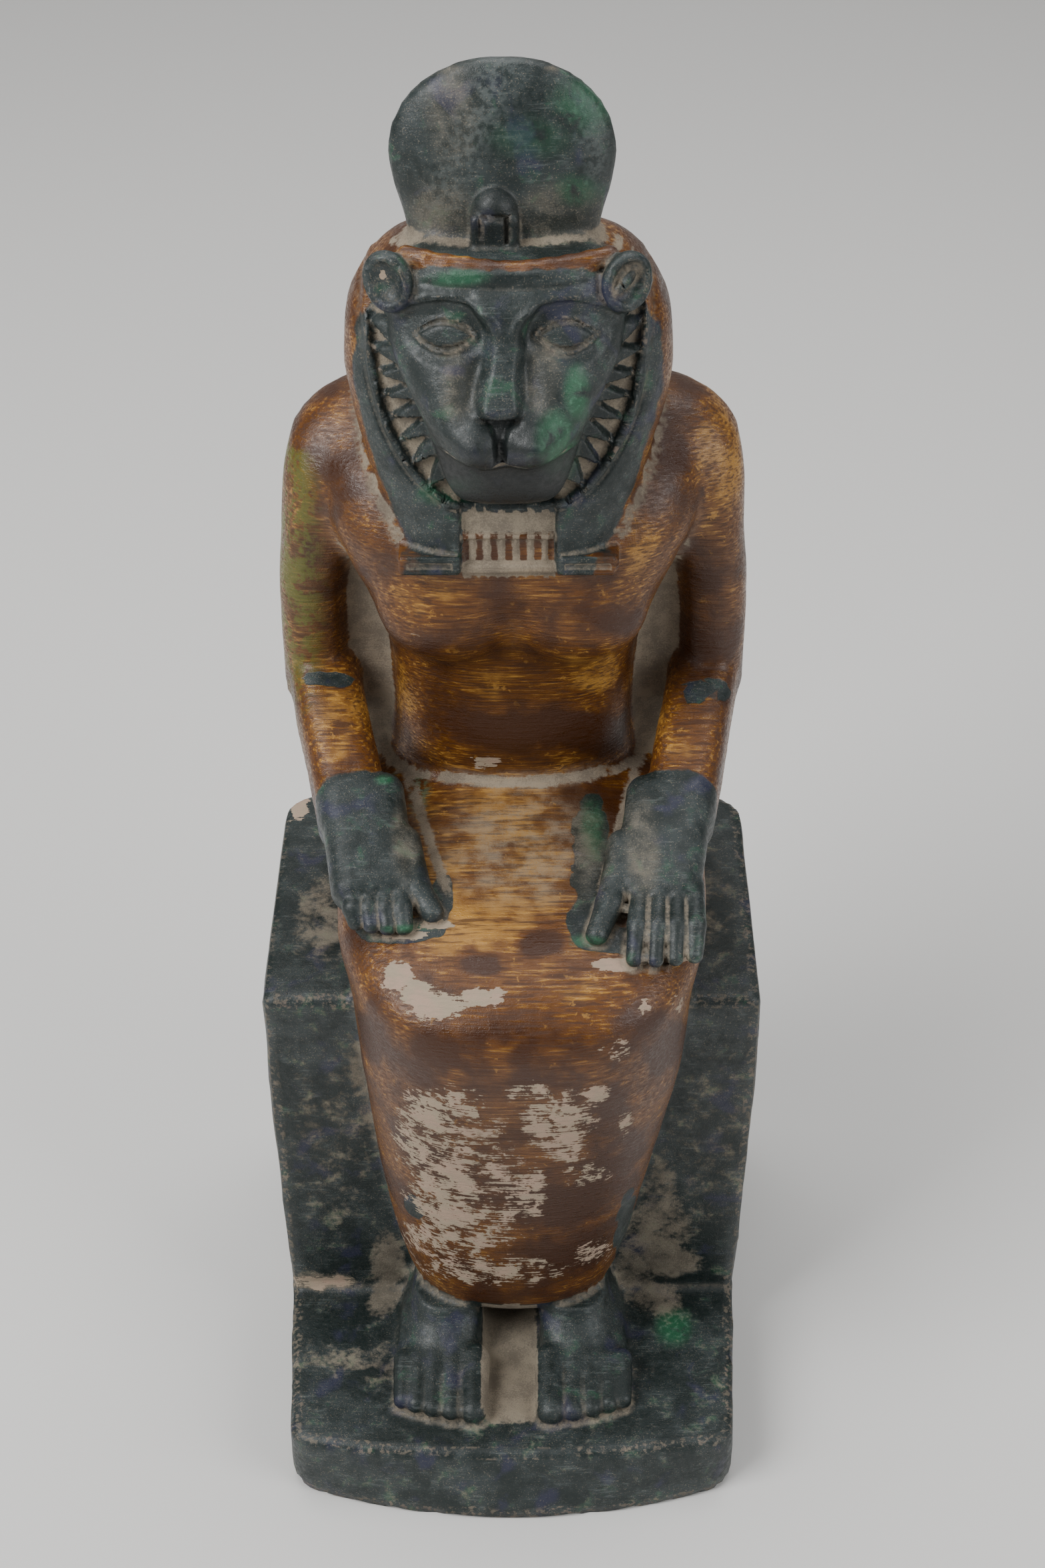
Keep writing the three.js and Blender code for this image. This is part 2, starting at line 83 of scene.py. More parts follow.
# How far the front of the figure is from the camera, down the rows of the photo
VIEW_DEPTH = [(500, 520), (700, 538), (930, 532), (1118, 560), (1160, 562), (1300, 544), (1400, 532),
              (1458, 526), (1568, 521), (1663, 531), (1795, 556), (1924, 582), (1965, 592)]


# Curves

def through(knots):
    """The smooth curve through [position, value] knots that never overshoots them, or a constant."""
    if np.isscalar(knots):
        return lambda position: np.full(np.shape(position), float(knots))
    at, value = np.array(knots, float).T
    rise = np.diff(value) / np.diff(at)
    before, after = np.r_[rise[0], rise], np.r_[rise, rise[-1]]
    product = before * after
    total = np.where(product > 0, before + after, 1)
    slope = np.where(product > 0, 2 * product / total, 0)
    fine = np.linspace(at[0], at[-1], 600)
    i = np.clip(np.searchsorted(at, fine) - 1, 0, len(rise) - 1)
    width = at[i + 1] - at[i]
    t = (fine - at[i]) / width
    bend = width * t * (1 - t) * (slope[i] * (1 - t) - slope[i + 1] * t)
    curve = value[i] + (value[i + 1] - value[i]) * t * t * (3 - 2 * t) + bend
    return lambda position: np.interp(position, fine, curve)


def smooth(start, end, value):
    t = np.clip((value - start) / (end - start), 0, 1)
    return t * t * (3 - 2 * t)


def bump(distance, width):
    return np.exp(-np.square(distance / width))


def blend_min(a, b, width):
    """The smaller of two distances, with the corner between them filled over a width."""
    if width == 0:
        return np.minimum(a, b)
    overlap = np.maximum(width - np.abs(a - b), 0) / width
    return np.minimum(a, b) - overlap * overlap * width / 4


def blend_max(a, b, width):
    return -blend_min(-a, -b, width)


# Forms: each is a low corner, a high corner and a function that gives the distance to its surface

def loft(half, front, back, bottom, top, power=2.6, x=0):
    """Level slices, each a superellipse of a half width from a front to a back."""
    curves = [through(knots) for knots in (half, front, back, power, x)]

    def side(px, pb, pz):
        level = np.clip(pz, bottom, top)
        h, f, k, p, shift = (curve(level) for curve in curves)
        middle, reach = (f + k) / 2, (k - f) / 2
        u = np.maximum(np.abs(px - shift) / h, 1e-4)
        v = np.maximum(np.abs(pb - middle) / reach, 1e-4)
        m = (u ** p + v ** p) ** (1 / p)
        steep = np.hypot((u / m) ** (p - 1) / h, (v / m) ** (p - 1) / reach)
        return (m - 1) / steep

    def distance(px, pb, pz):
        here = side(px, pb, pz)
        slope = (side(px, pb, pz + 0.4) - side(px, pb, pz - 0.4)) / 0.8
        here = here / np.sqrt(1 + np.minimum(slope * slope, 30))
        past = np.maximum(bottom - pz, pz - top)
        return np.hypot(np.maximum(here, 0), np.maximum(past, 0)) + np.minimum(np.maximum(here, past), 0)

    levels = np.linspace(bottom, top, 60)
    h, f, k, _, shift = (curve(levels) for curve in curves)
    return [(shift - h).min(), f.min(), bottom], [(shift + h).max(), k.max(), top], distance


def limb(start, start_radius, end, end_radius):
    """A tapering limb with ball ends."""
    start, end = np.array(start, float), np.array(end, float)
    along = end - start
    square = along @ along

    def distance(px, pb, pz):
        dx, db, dz = px - start[0], pb - start[1], pz - start[2]
        t = np.clip((dx * along[0] + db * along[1] + dz * along[2]) / square, 0, 1)
        gap = np.sqrt((dx - t * along[0]) ** 2 + (db - t * along[1]) ** 2 + (dz - t * along[2]) ** 2)
        return gap - (start_radius + (end_radius - start_radius) * t)

    widest = max(start_radius, end_radius)
    return np.minimum(start, end) - widest, np.maximum(start, end) + widest, distance


def turn(degrees):
    """The matrix that turns about x, then y, then z."""
    matrix = np.eye(3)
    for axis, angle in enumerate(np.radians(degrees)):
        c, s = math.cos(angle), math.sin(angle)
        one = np.eye(3)
        i, j = (axis + 1) % 3, (axis + 2) % 3
        one[i, i], one[i, j], one[j, i], one[j, j] = c, -s, s, c
        matrix = one @ matrix
    return matrix


def egg(centre, radii, degrees=(0, 0, 0)):
    """A ball stretched to three radii and turned."""
    back = turn(degrees).T
    radii = np.array(radii, float)

    def distance(px, pb, pz):
        local = back @ np.stack([px - centre[0], pb - centre[1], pz - centre[2]])
        near = np.sqrt(((local / radii[:, None]) ** 2).sum(0))
        steep = np.sqrt(((local / radii[:, None] ** 2) ** 2).sum(0)) + 1e-6
        return near * (near - 1) / steep

    widest = radii.max()
    return np.array(centre) - widest, np.array(centre) + widest, distance


def block(centre, sizes, rounding, degrees=(0, 0, 0)):
    """A box with rounded edges, turned."""
    back = turn(degrees).T
    core = np.array(sizes, float) / 2 - rounding

    def distance(px, pb, pz):
        local = back @ np.stack([px - centre[0], pb - centre[1], pz - centre[2]])
        past = np.abs(local) - core[:, None]
        return np.sqrt((np.maximum(past, 0) ** 2).sum(0)) + np.minimum(past.max(0), 0) - rounding

    widest = np.linalg.norm(np.array(sizes) / 2)
    return np.array(centre) - widest, np.array(centre) + widest, distance


def within(low_corner, high_corner, px, pb, pz):
    low_corner, high_corner = np.array(low_corner) - REACH, np.array(high_corner) + REACH
    inside = (px > low_corner[0]) & (px < high_corner[0]) & (pb > low_corner[1]) & (pb < high_corner[1])
    return np.nonzero(inside & (pz > low_corner[2]) & (pz < high_corner[2]))[0]


def joined(parts, common=0.0):
    """Several forms as one, each flowing into those before it over its own blend width."""
    parts = [(part if isinstance(part[1], (int, float)) else (part, common)) for part in parts]
    corners = np.array([[part[0], part[1]] for part, _ in parts], float)

    def distance(px, pb, pz):
        total = np.full(np.shape(px), FAR)
        for (start, end, form), width in parts:
            near = within(start, end, px, pb, pz)
            if len(near):
                total[near] = blend_min(total[near], form(px[near], pb[near], pz[near]), width)
        return total

    return corners[:, 0].min(0), corners[:, 1].max(0), distance


def cut(whole, tool, width=0.0):
    """A form with another taken out of it."""
    start, end, form = whole

    def distance(px, pb, pz):
        total = form(px, pb, pz)
        near = within(tool[0], tool[1], px, pb, pz)
        if len(near):
            total[near] = blend_max(total[near], -tool[2](px[near], pb[near], pz[near]), width)
        return total

    return start, end, distance


def raised(whole, relief):
    """A form whose surface stands out by what relief says of each place."""
    start, end, form = whole
    return start, end, lambda px, pb, pz: form(px, pb, pz) - relief(px, pb, pz)


def mirrored(make):
    return [make(-1), make(1)]


# Plinth and throne

def cornered(past_one, past_other, radius):
    """Two faces' distances as one, with the corner between the faces rounded."""
    a, b = past_one + radius, past_other + radius
    return np.minimum(np.maximum(a, b), 0) + np.hypot(np.maximum(a, 0), np.maximum(b, 0)) - radius


SUNK_IN_PLINTH = 8
throne_side = through([[0, 0], [0.3, 0.5], [0.65, 0.9], [1, 1]])


def throne():
    back_corner, edge = 9, 1.5
    foot_z = PLINTH_TOP - SUNK_IN_PLINTH

    def distance(px, pb, pz):
        share = np.clip((pz - PLINTH_TOP) / -PLINTH_TOP, 0, 1)
        half = THRONE_FOOT_HALF + (THRONE_HALF - THRONE_FOOT_HALF) * throne_side(share)
        radius = np.where(pb > THRONE_DEPTH / 2, back_corner, edge)
        past_x = np.abs(px + FIGURE_SHIFT) - half
        past_b = np.abs(pb - THRONE_DEPTH / 2) - THRONE_DEPTH / 2
        flat = cornered(past_x, past_b, radius)
        return cornered(flat, np.maximum(foot_z - pz, pz), edge)

    corner = THRONE_HALF + FIGURE_SHIFT
    return [-corner, 0, foot_z], [corner, THRONE_DEPTH, 0], distance


def plinth():
    front_half, foot_bow, top_bow, foot_corner, top_corner, edge = 50.5, 9.5, 4.0, 5.5, 4.0, 1.3
    corner_b = foot_bow - PLINTH_REACH

    def distance(px, pb, pz):
        share = np.clip((pz - UNDERSIDE) / PLINTH_THICKNESS, 0, 1)
        x = px + FIGURE_SHIFT
        bow = foot_bow + (top_bow - foot_bow) * share
        radius = np.where(pb < THRONE_DEPTH / 2, foot_corner + (top_corner - foot_corner) * share, edge)
        half = front_half + (THRONE_FOOT_HALF - front_half) * np.clip(1 - pb / corner_b, 0, 1)
        front = corner_b - bow * (1 - np.minimum(np.abs(x) / front_half, 1) ** 2)
        past_b = np.maximum(front - pb, pb - THRONE_DEPTH)
        flat = cornered(np.abs(x) - half, past_b, radius)
        return cornered(flat, np.maximum(UNDERSIDE - pz, pz - PLINTH_TOP), edge)

    corner = THRONE_FOOT_HALF + FIGURE_SHIFT
    return [-corner, -PLINTH_REACH, UNDERSIDE], [corner, THRONE_DEPTH, PLINTH_TOP], distance


# Body

def robe():
    return loft(
        half=[[-81, 22.5], [-76, 24.8], [-68, 27], [-50, 30], [-33, 32.3], [-6, 35.8], [7, 37.8], [15, 39.6],
              [20, 40.4], [24, 40.2], [28, 38.5], [31, 34.5], [33, 27], [34, 18]],
        front=[[-81, -17.5], [-76, -19.5], [-68, -21], [-50, -24.5], [-33, -27.5], [-15, -31], [0, -34],
               [10, -34.5], [17, -33], [22, -28.5], [26, -20.5], [29, -9], [31.5, 6], [33, 20], [34, 30]],
        back=[[-81, 24], [-10, 30], [5, 55], [15, 70], [34, 70]],
        bottom=-81, top=34, power=[[-81, 2.5], [0, 2.7], [20, 2.9], [34, 2.9]],
        x=[[-81, -1.6], [-40, -0.8], [0, 0.6], [34, 0.6]])


def torso():
    trunk = loft(
        half=[[20, 30], [34, 27.5], [48, 26.2], [60, 26.6], [72, 28.5], [82, 32], [92, 36], [102, 39],
              [110, 39], [116, 34], [120, 26]],
        front=[[20, 36], [34, 36.5], [48, 35.5], [60, 33.5], [72, 30.5], [82, 27], [90, 25], [97, 25],
               [104, 27.5], [110, 32], [116, 40], [120, 50]],
        back=68, bottom=20, top=119, power=2.7, x=BODY_X)
    breasts = mirrored(lambda side: egg([BODY_X + side * 15, 32, 80], [12, 7.5, 9], (-14, 0, 0)))
    belly = egg([BODY_X, 42, 44], [20, 8, 12])
    return joined([(trunk, 0), *[(breast, 7) for breast in breasts], (belly, 6)])


def back():
    """The stone between her arms and her sides, which is also her back and shoulders."""
    return loft(
        half=[[-1, 44], [40, 46], [60, 47.2], [90, 48], [101, 48.4], [107, 47.9], [112, 46.8], [116, 44],
              [119, 39.5], [121, 33.5], [122.5, 25], [123.5, 14]],
        front=[[-1, 50], [60, 50], [85, 47.5], [95, 44], [103, 41], [110, 42], [118, 47], [123, 54]],
        back=69, bottom=-1, top=123.5, power=3.2, x=[[-1, BODY_X], [90, BODY_X], [112, -0.7]])


def upper_arm(side):
    """A squared arm that hangs straight and stops at the elbow with a crisp step."""
    return loft(
        half=[[48, 7.4], [60, 7.5], [75, 7.6], [88, 8.6], [98, 10], [106, 10.4], [111, 9.6], [113, 8]],
        front=[[48, 46.5], [60, 45.2], [75, 44.4], [90, 43], [100, 42.5], [107, 44], [113, 49]],
        back=68.6, bottom=48, top=113, power=2.9,
        x=[[48, BODY_X + side * 44.2], [75, BODY_X + side * 43.6], [90, BODY_X + side * 41],
           [100, BODY_X + side * 38.3], [113, BODY_X + side * 35]])


def forearm(side, wrist_x):
    """A squared forearm that slopes down from the elbow to the wrist."""
    elbow, wrist = np.array([BODY_X + side * 43.8, 56, 55.0]), np.array([wrist_x, 18, 37.4])
    along = elbow - wrist
    slope, swing = math.atan2(along[2], along[1]), math.atan2(-along[0], along[1])
    turned = (math.degrees(slope), 0, math.degrees(swing))
    return block((elbow + wrist) / 2, [15.4, np.linalg.norm(along) + 12, 15.6], 5, turned)


def hand(palm_x, palm_swing, fingers, knuckles, tips, top, drop):
    """A flat palm that slopes down the lap, and fingers side by side with grooves between them."""
    palm = block([palm_x, 9.5, top - 0.3], [18.6, 31, 10.5], 4.4, (22.5, 0, palm_swing))
    digits = []
    for (knuckle_x, tip_x), shorter in zip(fingers, [0, 0, 0.5, 1.4]):
        bend = [(knuckle_x + tip_x) / 2, (knuckles + tips) / 2, top - 4.6 - drop * 0.25]
        knuckle = [knuckle_x, knuckles + 2, top - 3.2]
        tip = [tip_x, tips + shorter + 1.6, top - 5 - drop]
        digits.append(joined([(limb(knuckle, 2.25, bend, 2.3), 0), (limb(bend, 2.3, tip, 1.9), 0.6)]))
    return palm, joined([(digit, 0.25) for digit in digits])


def thumb(root, bend, tip):
    return joined([(limb(root, 3.6, bend, 3.0), 0), (limb(bend, 3.0, tip, 2.4), 1)])


def foot(side):
    """An instep that slopes from under the hem to the toes, the big toe innermost."""
    instep = loft(
        half=[[-94, 10.4], [-89, 9.8], [-85, 8.7], [-79, 8]],
        front=[[-94, -37], [-91, -36.5], [-88, -31], [-85, -25], [-82, -21], [-79, -19]],
        back=5, bottom=-94, top=-79, power=2.8,
        x=[[-94, side * 17.2 - 1.6], [-88, side * 16.4 - 1.8], [-83, side * 14.8 - 2.1],
           [-79, side * 14.6 - 2.2]])
    toes = []
    sizes = zip([8.9, 14, 18.2, 22, 25.4], [3.3, 2.4, 2.3, 2.2, 2], [42.5, 41.7, 40.7, 39.5, 38.1])
    for x, radius, reach in sizes:
        across = side * x - 1.6
        toes.append(limb([across, -26, -88.5], radius + 0.4, [across, radius - reach, -90.6], radius))
    return joined([(instep, 0), *[(toe, 1.0) for toe in toes]])


# Head

WIG_END_Z = 96
WIG = dict(
    half=[[96, 22.8], [99, 23.5], [105, 25.4], [112, 28], [120, 30.6], [128, 32.5], [135, 33.4], [143, 33],
          [149, 30.8], [156, 26.8], [160, 22.6], [162.5, 17.5], [164, 11]],
    front=[[96, 22.4], [105, 23], [118, 24], [130, 25], [142, 26], [150, 27], [156, 29], [160, 33],
           [164, 42]],
    back=[[96, 62], [105, 67], [115, 71], [125, 73], [140, 73], [150, 70], [157, 64], [161, 57], [164, 51]],
    power=[[96, 3.4], [130, 3], [150, 2.7], [164, 2.4]],
    bottom=WIG_END_Z, top=164, x=HEAD_X)
wig_half, wig_front, wig_back, wig_power = (through(WIG[key]) for key in ("half", "front", "back", "power"))


def on_wig(x, z):
    """How far behind the throne's front face the wig's front is, at x from the head's middle."""
    reach = (wig_back(z) - wig_front(z)) / 2
    across = np.minimum(np.abs(x) / wig_half(z), 0.98)
    return wig_front(z) + reach * (1 - (1 - across ** wig_power(z)) ** (1 / wig_power(z)))


CHIN_Z, FACE_TOP_Z = 113, 163
FACE_BACK = 46
face_half = through([[CHIN_Z, 4], [114.5, 8.4], [117.5, 11], [122, 12.7], [129, 14.6], [134, 16.8],
                     [138, 18.8], [142, 20.7], [146, 22], [152, 22.5], [156, 21.9], [160, 19.6],
                     [FACE_TOP_Z, 16]])
face_middle = through([[CHIN_Z, 23], [114.5, 17.5], [117, 14.6], [121, 13.2], [125.5, 12.4],
                       [129.5, 10.6], [133, 10.2], [137, 12.4], [142, 15.4], [147, 17.8], [152, 19.4],
                       [157, 20.6], [FACE_TOP_Z, 22.5]])
NOSE_TIP_Z = 138.8
MOUTH_Z = 127.4
EYE_X, EYE_Z = 11.7, 151.3


def eye_outside(x, z):
    """How far outside the almond of an eye a place on the face is."""
    q = np.abs(x) - EYE_X
    line = EYE_Z - 0.5 - 0.08 * q
    opening = 1 - np.minimum(np.abs(q / 6.1), 1) ** 2
    outside = np.maximum(z - (line + 3.1 * opening), (line - 2.7 * opening) - z)
    return np.where(np.abs(q) > 6.1, np.hypot(np.abs(q) - 6.1, z - line), outside)


def lip_height(side):
    """The height of the line of the mouth, which rises to its corners."""
    return MOUTH_Z + 1.6 * smooth(2, 13.5, side) - 0.9 * bump(side - 4.5, 2.8)


def face_relief(x, z):
    """How far the carving raises the face at x from its middle and height z."""
    nose_x = x + 1.1 * smooth(152, 139, z)
    nose_side = np.abs(nose_x)
    side = np.abs(x)
    bridge_half = 2.9 + 0.9 * smooth(147, 140, z) + 3.2 * smooth(151, 158, z)
    bridge = (2.2 + 1.0 * smooth(155, 142, z)) * (1 - smooth(bridge_half - 1.3, bridge_half + 1.5, nose_side))
    tip_z = NOSE_TIP_Z - 1.2 + 0.09 * nose_side ** 2
    bridge = bridge * smooth(tip_z - 1.8, tip_z + 1.6, z) * (1 - smooth(156, 161, z))
    nostrils = 0.7 * bump(nose_side - 4.2, 1.3) * bump(z - (NOSE_TIP_Z - 0.4), 1.6)
    under_nose = -1.0 * bump(nose_side - 2.9, 1.3) * bump(z - (NOSE_TIP_Z - 2.4 + 0.25 * nose_side), 0.8)

    q = side - EYE_X
    outside = eye_outside(x, z)
    lids = 0.6 * bump(outside - 0.25, 0.3)
    ball = 1.0 * smooth(-0.5, -1.3, outside) - 0.5 * bump(outside + 0.4, 0.3)
    socket_ring = np.hypot(q / 9.4, (z + 0.08 * q - EYE_Z - 0.6) / 6.2)
    socket = -1.2 * (1 - smooth(0.72, 1.08, socket_ring))
    brow = 0.8 * bump(socket_ring - 1.05, 0.085) * smooth(EYE_Z - 0.5, EYE_Z + 3, z)

    cheek = 1.0 * bump(side - 12.5, 5) * bump(z - 141, 6)
    valley = -1.0 * bump(nose_side - (bridge_half + 2.2), 2.0)
    valley = valley * smooth(137, 140.5, z) * (1 - smooth(146, 150, z))
    lobes = 2.8 * bump(side - 6.2, 4.9) * bump(z - 131.8, 4.9)
    cleft_half = 0.75 + 1.5 * bump(z - (NOSE_TIP_Z - 1.8), 1.7)
    cleft = -2.5 * (1 - smooth(cleft_half - 0.3, cleft_half + 0.7, nose_side))
    cleft = cleft * smooth(MOUTH_Z - 0.5, MOUTH_Z + 1.5, z)
    cleft = cleft * (1 - smooth(NOSE_TIP_Z - 2.0, NOSE_TIP_Z - 0.4, z))
    lip_z = lip_height(side)
    mouth = -1.7 * bump(z - lip_z, 0.65) * (1 - smooth(12, 13.5, side))
    chin = -2.3 * smooth(lip_z + 0.2, lip_z - 1.7, z)
    band = -0.5 * bump(z - 160.2, 0.6) * (1 - smooth(15, 17, side))
    nose = bridge + nostrils + under_nose
    eyes = lids + ball + socket + brow
    return nose + eyes + cheek + valley + lobes + cleft + mouth + chin + band


def face():
    def distance(px, pb, pz):
        x = px - FACE_X
        half = face_half(pz) + 0.5
        across = np.minimum(np.abs(x) / half, 1)
        edge = on_wig(half, np.minimum(pz, 154)) - 2.4
        middle = face_middle(pz)
        front = middle + (edge - middle) * (1 - (1 - across ** 3) ** 0.64)
        relief = face_relief(x, pz) * (1 - across ** 8)
        ahead = (front - relief - pb) * 0.8
        beside = (np.abs(x) - half) * 0.9
        body = blend_max(ahead, beside, 1.1)
        return np.maximum.reduce([body, pb - FACE_BACK, CHIN_Z - pz, pz - FACE_TOP_Z])

    return [FACE_X - 23, 5, CHIN_Z], [FACE_X + 23, FACE_BACK, FACE_TOP_Z], distance


# The ruff lies round the face in polar places: an angle up from straight below, and a share of the way
# from the face's edge to the rim
RUFF_CENTRE_Z = 141
RUFF_FOOT_Z, RUFF_TOP_Z = 110, 161
rim_half = through([[RUFF_FOOT_Z, 3], [111, 8], [113.2, 13], [116, 16.8], [120, 20], [124, 22.3],
                    [128.4, 24.2], [134, 25.8], [140.4, 26.8], [146, 27.4], [150, 27.6], [156, 26.8],
                    [RUFF_TOP_Z, 25]])


def polar_edge(half, bottom, top):
    levels = np.linspace(bottom, top, 400)
    across = half(levels)
    across[0] = 0
    angles = np.arctan2(across, RUFF_CENTRE_Z - levels)
    return lambda angle: np.interp(angle, angles, np.hypot(across, levels - RUFF_CENTRE_Z))


face_edge = polar_edge(face_half, CHIN_Z, FACE_TOP_Z)
rim_edge = polar_edge(rim_half, RUFF_FOOT_Z, RUFF_TOP_Z)
LOCKS_A_SIDE = 10
LOCKS_FROM, LOCKS_TO = math.radians(26), math.radians(131)


def ruff_place(x, z):
    """Where a place on the wig's front is in the ruff: the angle, the share of the way out, how far past the
    rim, and how far inside a lock."""
    angle = np.arctan2(np.abs(x), RUFF_CENTRE_Z - z)
    radius = np.hypot(x, z - RUFF_CENTRE_Z)
    inner, outer = face_edge(angle) + 0.5, rim_edge(angle)
    share = (radius - inner) / (outer - inner - 0.6)
    turn_on = (angle - LOCKS_FROM) / (LOCKS_TO - LOCKS_FROM) * LOCKS_A_SIDE
    inside = (1.0 - share) - np.abs(turn_on % 1 - 0.5) * 2
    inside = np.where((turn_on > 0) & (turn_on < LOCKS_A_SIDE), inside, -1)
    return angle, share, radius - outer, inside


def ruff_relief(x, z):
    """The mane ruff on the wig's front: a rim, and pointed locks on a sunk ground between it and the face."""
    angle, share, past_rim, inside = ruff_place(x, z)
    here = 1 - smooth(LOCKS_TO + 0.04, LOCKS_TO + 0.16, angle)
    rim = (1.3 * bump(past_rim, 0.7) - 0.6 * bump(past_rim - 1.5, 0.5)) * here
    ground = -1.3 * smooth(-0.1, 0.1, share) * (1 - smooth(0.86, 1, share)) * here
    lock = 1.9 * smooth(-0.1, 0.2, inside) * (share < 1.05) * (share > -0.3)
    return rim + ground + lock


LAPPET_INNER = 9.7
COLLAR_STROKES = 6
COLLAR_STROKE_STEP = 2.96
LAPPET_END_Z = 100.4  # below it, down to the wig's end, is the trim


def wig():
    whole = loft(**WIG)

    def relief(px, pb, pz):
        x = px - HEAD_X
        near_front = 1 - smooth(10, 16, pb - on_wig(x, pz))
        between = (1 - smooth(LAPPET_INNER - 0.7, LAPPET_INNER + 0.7, np.abs(x))) * (1 - smooth(121, 124, pz))
        strip = -2.2 * between
        fx = px - FACE_X
        ruff = ruff_relief(fx, pz) * smooth(107, 108.5, pz) * (1 - smooth(152.5, 156.5, pz))
        return (ruff + strip) * near_front

    return raised(whole, relief)


def collar():
    """The trim under the lappets, and the short strokes of the collar strip between them."""
    parts = []
    for side in (-1, 1):
        middle_x, height = HEAD_X + side * 16.2, LAPPET_END_Z - WIG_END_Z
        trim = block([middle_x, 28.2, LAPPET_END_Z - height / 2], [12.8, 12.5, height], 0.7)
        panel = block([middle_x, 21.9, LAPPET_END_Z - height / 2], [9.4, 0.9, 1.5], 0.3)
        parts.append((cut(trim, panel, 0.3), 0.4))
    parts.append((block([HEAD_X, 30.0, 96.6], [19.6, 12.5, 2.2], 0.6), 0.4))
    parts.append((block([HEAD_X, 30.6, 104], [18.4, 13, 1.1], 0.4), 0.3))
    for i in range(COLLAR_STROKES):
        x = HEAD_X + (i - (COLLAR_STROKES - 1) / 2) * COLLAR_STROKE_STEP
        parts.append((block([x, 30.9, 100.8], [0.9, 13, 5.2], 0.4), 0.2))
    parts.append((block([HEAD_X, 31.6, 103.5], [19, 13, 16], 0.5), 0.3))
    return joined(parts)


def ear(side):
    """A cupped leaf of an ear, pointed below. Only the ear on the viewer's right still has its inner fold."""
    centre = np.array([HEAD_X + side * 22.8, 26.2, 159.8])
    tilt = (-14, side * 26, side * 14)
    cup = egg(centre, [5.0, 3.2, 5.9], tilt)
    point = limb(centre + [side * -0.6, 0.3, -2.5], 3.0, centre + [side * -2.2, 1.0, -6.8], 1.1)
    hollow = egg(centre + turn(tilt) @ [0, -2.6, -0.3], [3.8, 2.7, 4.7], tilt)
    fold = egg(centre + [side * -0.5, -0.6, 0.4], [1.1, 1.9, 3.4], (-14, side * 50, side * 14))
    leaf = cut(joined([(cup, 0), (point, 2)]), hollow, 0.7)
    return joined([(leaf, 0), (fold, 0.6)] if side > 0 else [(leaf, 0)]), cup


def brow_band():
    """The rounded band that edges the wig across her forehead."""
    parts = []
    steps = np.linspace(-1, 1, 11)
    places = [[HEAD_X + 19.5 * t, 25.2 + 4.2 * t * t, 162.5 + 1.1 * t * t] for t in steps]
    for start, end in zip(places, places[1:]):
        parts.append((limb(start, 1.8, end, 1.8), 0.8))
    return joined(parts)


def disc():
    widest, rise, half_width = 179, 18.28, 21.8
    turns = np.radians(np.linspace(0, 80, 10))
    upper = [[widest + rise * math.sin(a), half_width * math.cos(a)] for a in turns]
    return loft(
        half=[[154, 17], [160, 18], [167, 19.4], [173, 21], *upper],
        front=[[154, 35.5], [165, 36.5], [180, 37.5], [190, 39.3], [197, 42]],
        back=[[154, 50], [180, 49.5], [190, 48.3], [197, 45]],
        bottom=154, top=widest + rise * math.sin(turns[-1]), power=2.3, x=HEAD_X - 1)


def uraeus():
    """The rearing cobra at the foot of the disc, cut as a plain arch with a sunk panel."""
    x, foot_z, crown_z, half = HEAD_X - 2.6, 158.4, 169.6, 4.6
    arch = joined([
        (block([x, 38, (foot_z + crown_z) / 2], [2 * half, 9.5, crown_z - foot_z], 1.0), 0),
        (egg([x, 38, crown_z], [half, 4.8, half], (0, 0, 0)), 0.6),
    ])
    for side in (-1, 1):
        arch = cut(arch, block([x + side * 2.4, 33.2, 163.6], [0.9, 2.6, 11], 0.35), 0.3)
    return cut(arch, block([x, 33.2, 169.2], [5.6, 1.8, 0.9], 0.3), 0.3)


# The whole, in one piece

ARMS = joined([(arm, 0.5) for side, wrist_x in ((-1, -36.0), (1, 34.6))
               for arm in (upper_arm(side), forearm(side, wrist_x))])
LEFT_PALM, LEFT_FINGERS = hand(
    palm_x=-32.4, palm_swing=10, knuckles=-2, tips=-11.8, top=37.2, drop=2.4,
    fingers=[(-25.4, -24.2), (-28.8, -27.6), (-32.2, -31.0), (-35.6, -34.2)])
RIGHT_PALM, RIGHT_FINGERS = hand(
    palm_x=31.0, palm_swing=-8, knuckles=-3.5, tips=-19.4, top=36.8, drop=4.6,
    fingers=[(25.6, 24.0), (29.6, 28.4), (33.5, 32.6), (37.2, 36.6)])
PALMS = joined([(LEFT_PALM, 0), (RIGHT_PALM, 0)])
LIMBS = joined([(ARMS, 0), (PALMS, 1.5)])
FINGERS = joined([
    (LEFT_FINGERS, 0), (RIGHT_FINGERS, 0),
    (thumb([-24.6, 9, 37.2], [-21.4, -2, 32.6], [-18.2, -6.6, 30.4]), 0.8),
    (thumb([22.4, 8, 37], [19.2, -5, 32], [16.4, -12.6, 29.6]), 0.8),
])
HANDS = joined([(PALMS, 0), (FINGERS, 0.8)])
FEET = joined([(form, 0) for form in mirrored(foot)])
BASE = joined([(plinth(), 0), (throne(), 0.8)])
ROBE = robe()
TORSO = torso()
BACK = back()
WIG_FORM = wig()
FACE = face()
EARS = joined([(leaf, 0) for leaf, _ in mirrored(ear)])
EAR_CUPS = joined([(cup, 0) for _, cup in mirrored(ear)])
DISC = disc()
URAEUS = uraeus()
COLLAR = collar()
BAND = brow_band()
STATUE = joined([
    (BASE, 0), (ROBE, 1.2), (FEET, 1.2), (TORSO, 5), (BACK, 3), (LIMBS, 3.5), (FINGERS, 0.9),
    (WIG_FORM, 1.2), (COLLAR, 0.4), (FACE, 0.3), (EARS, 0.8), (DISC, 2.2), (BAND, 1.4), (URAEUS, 0.5),
])
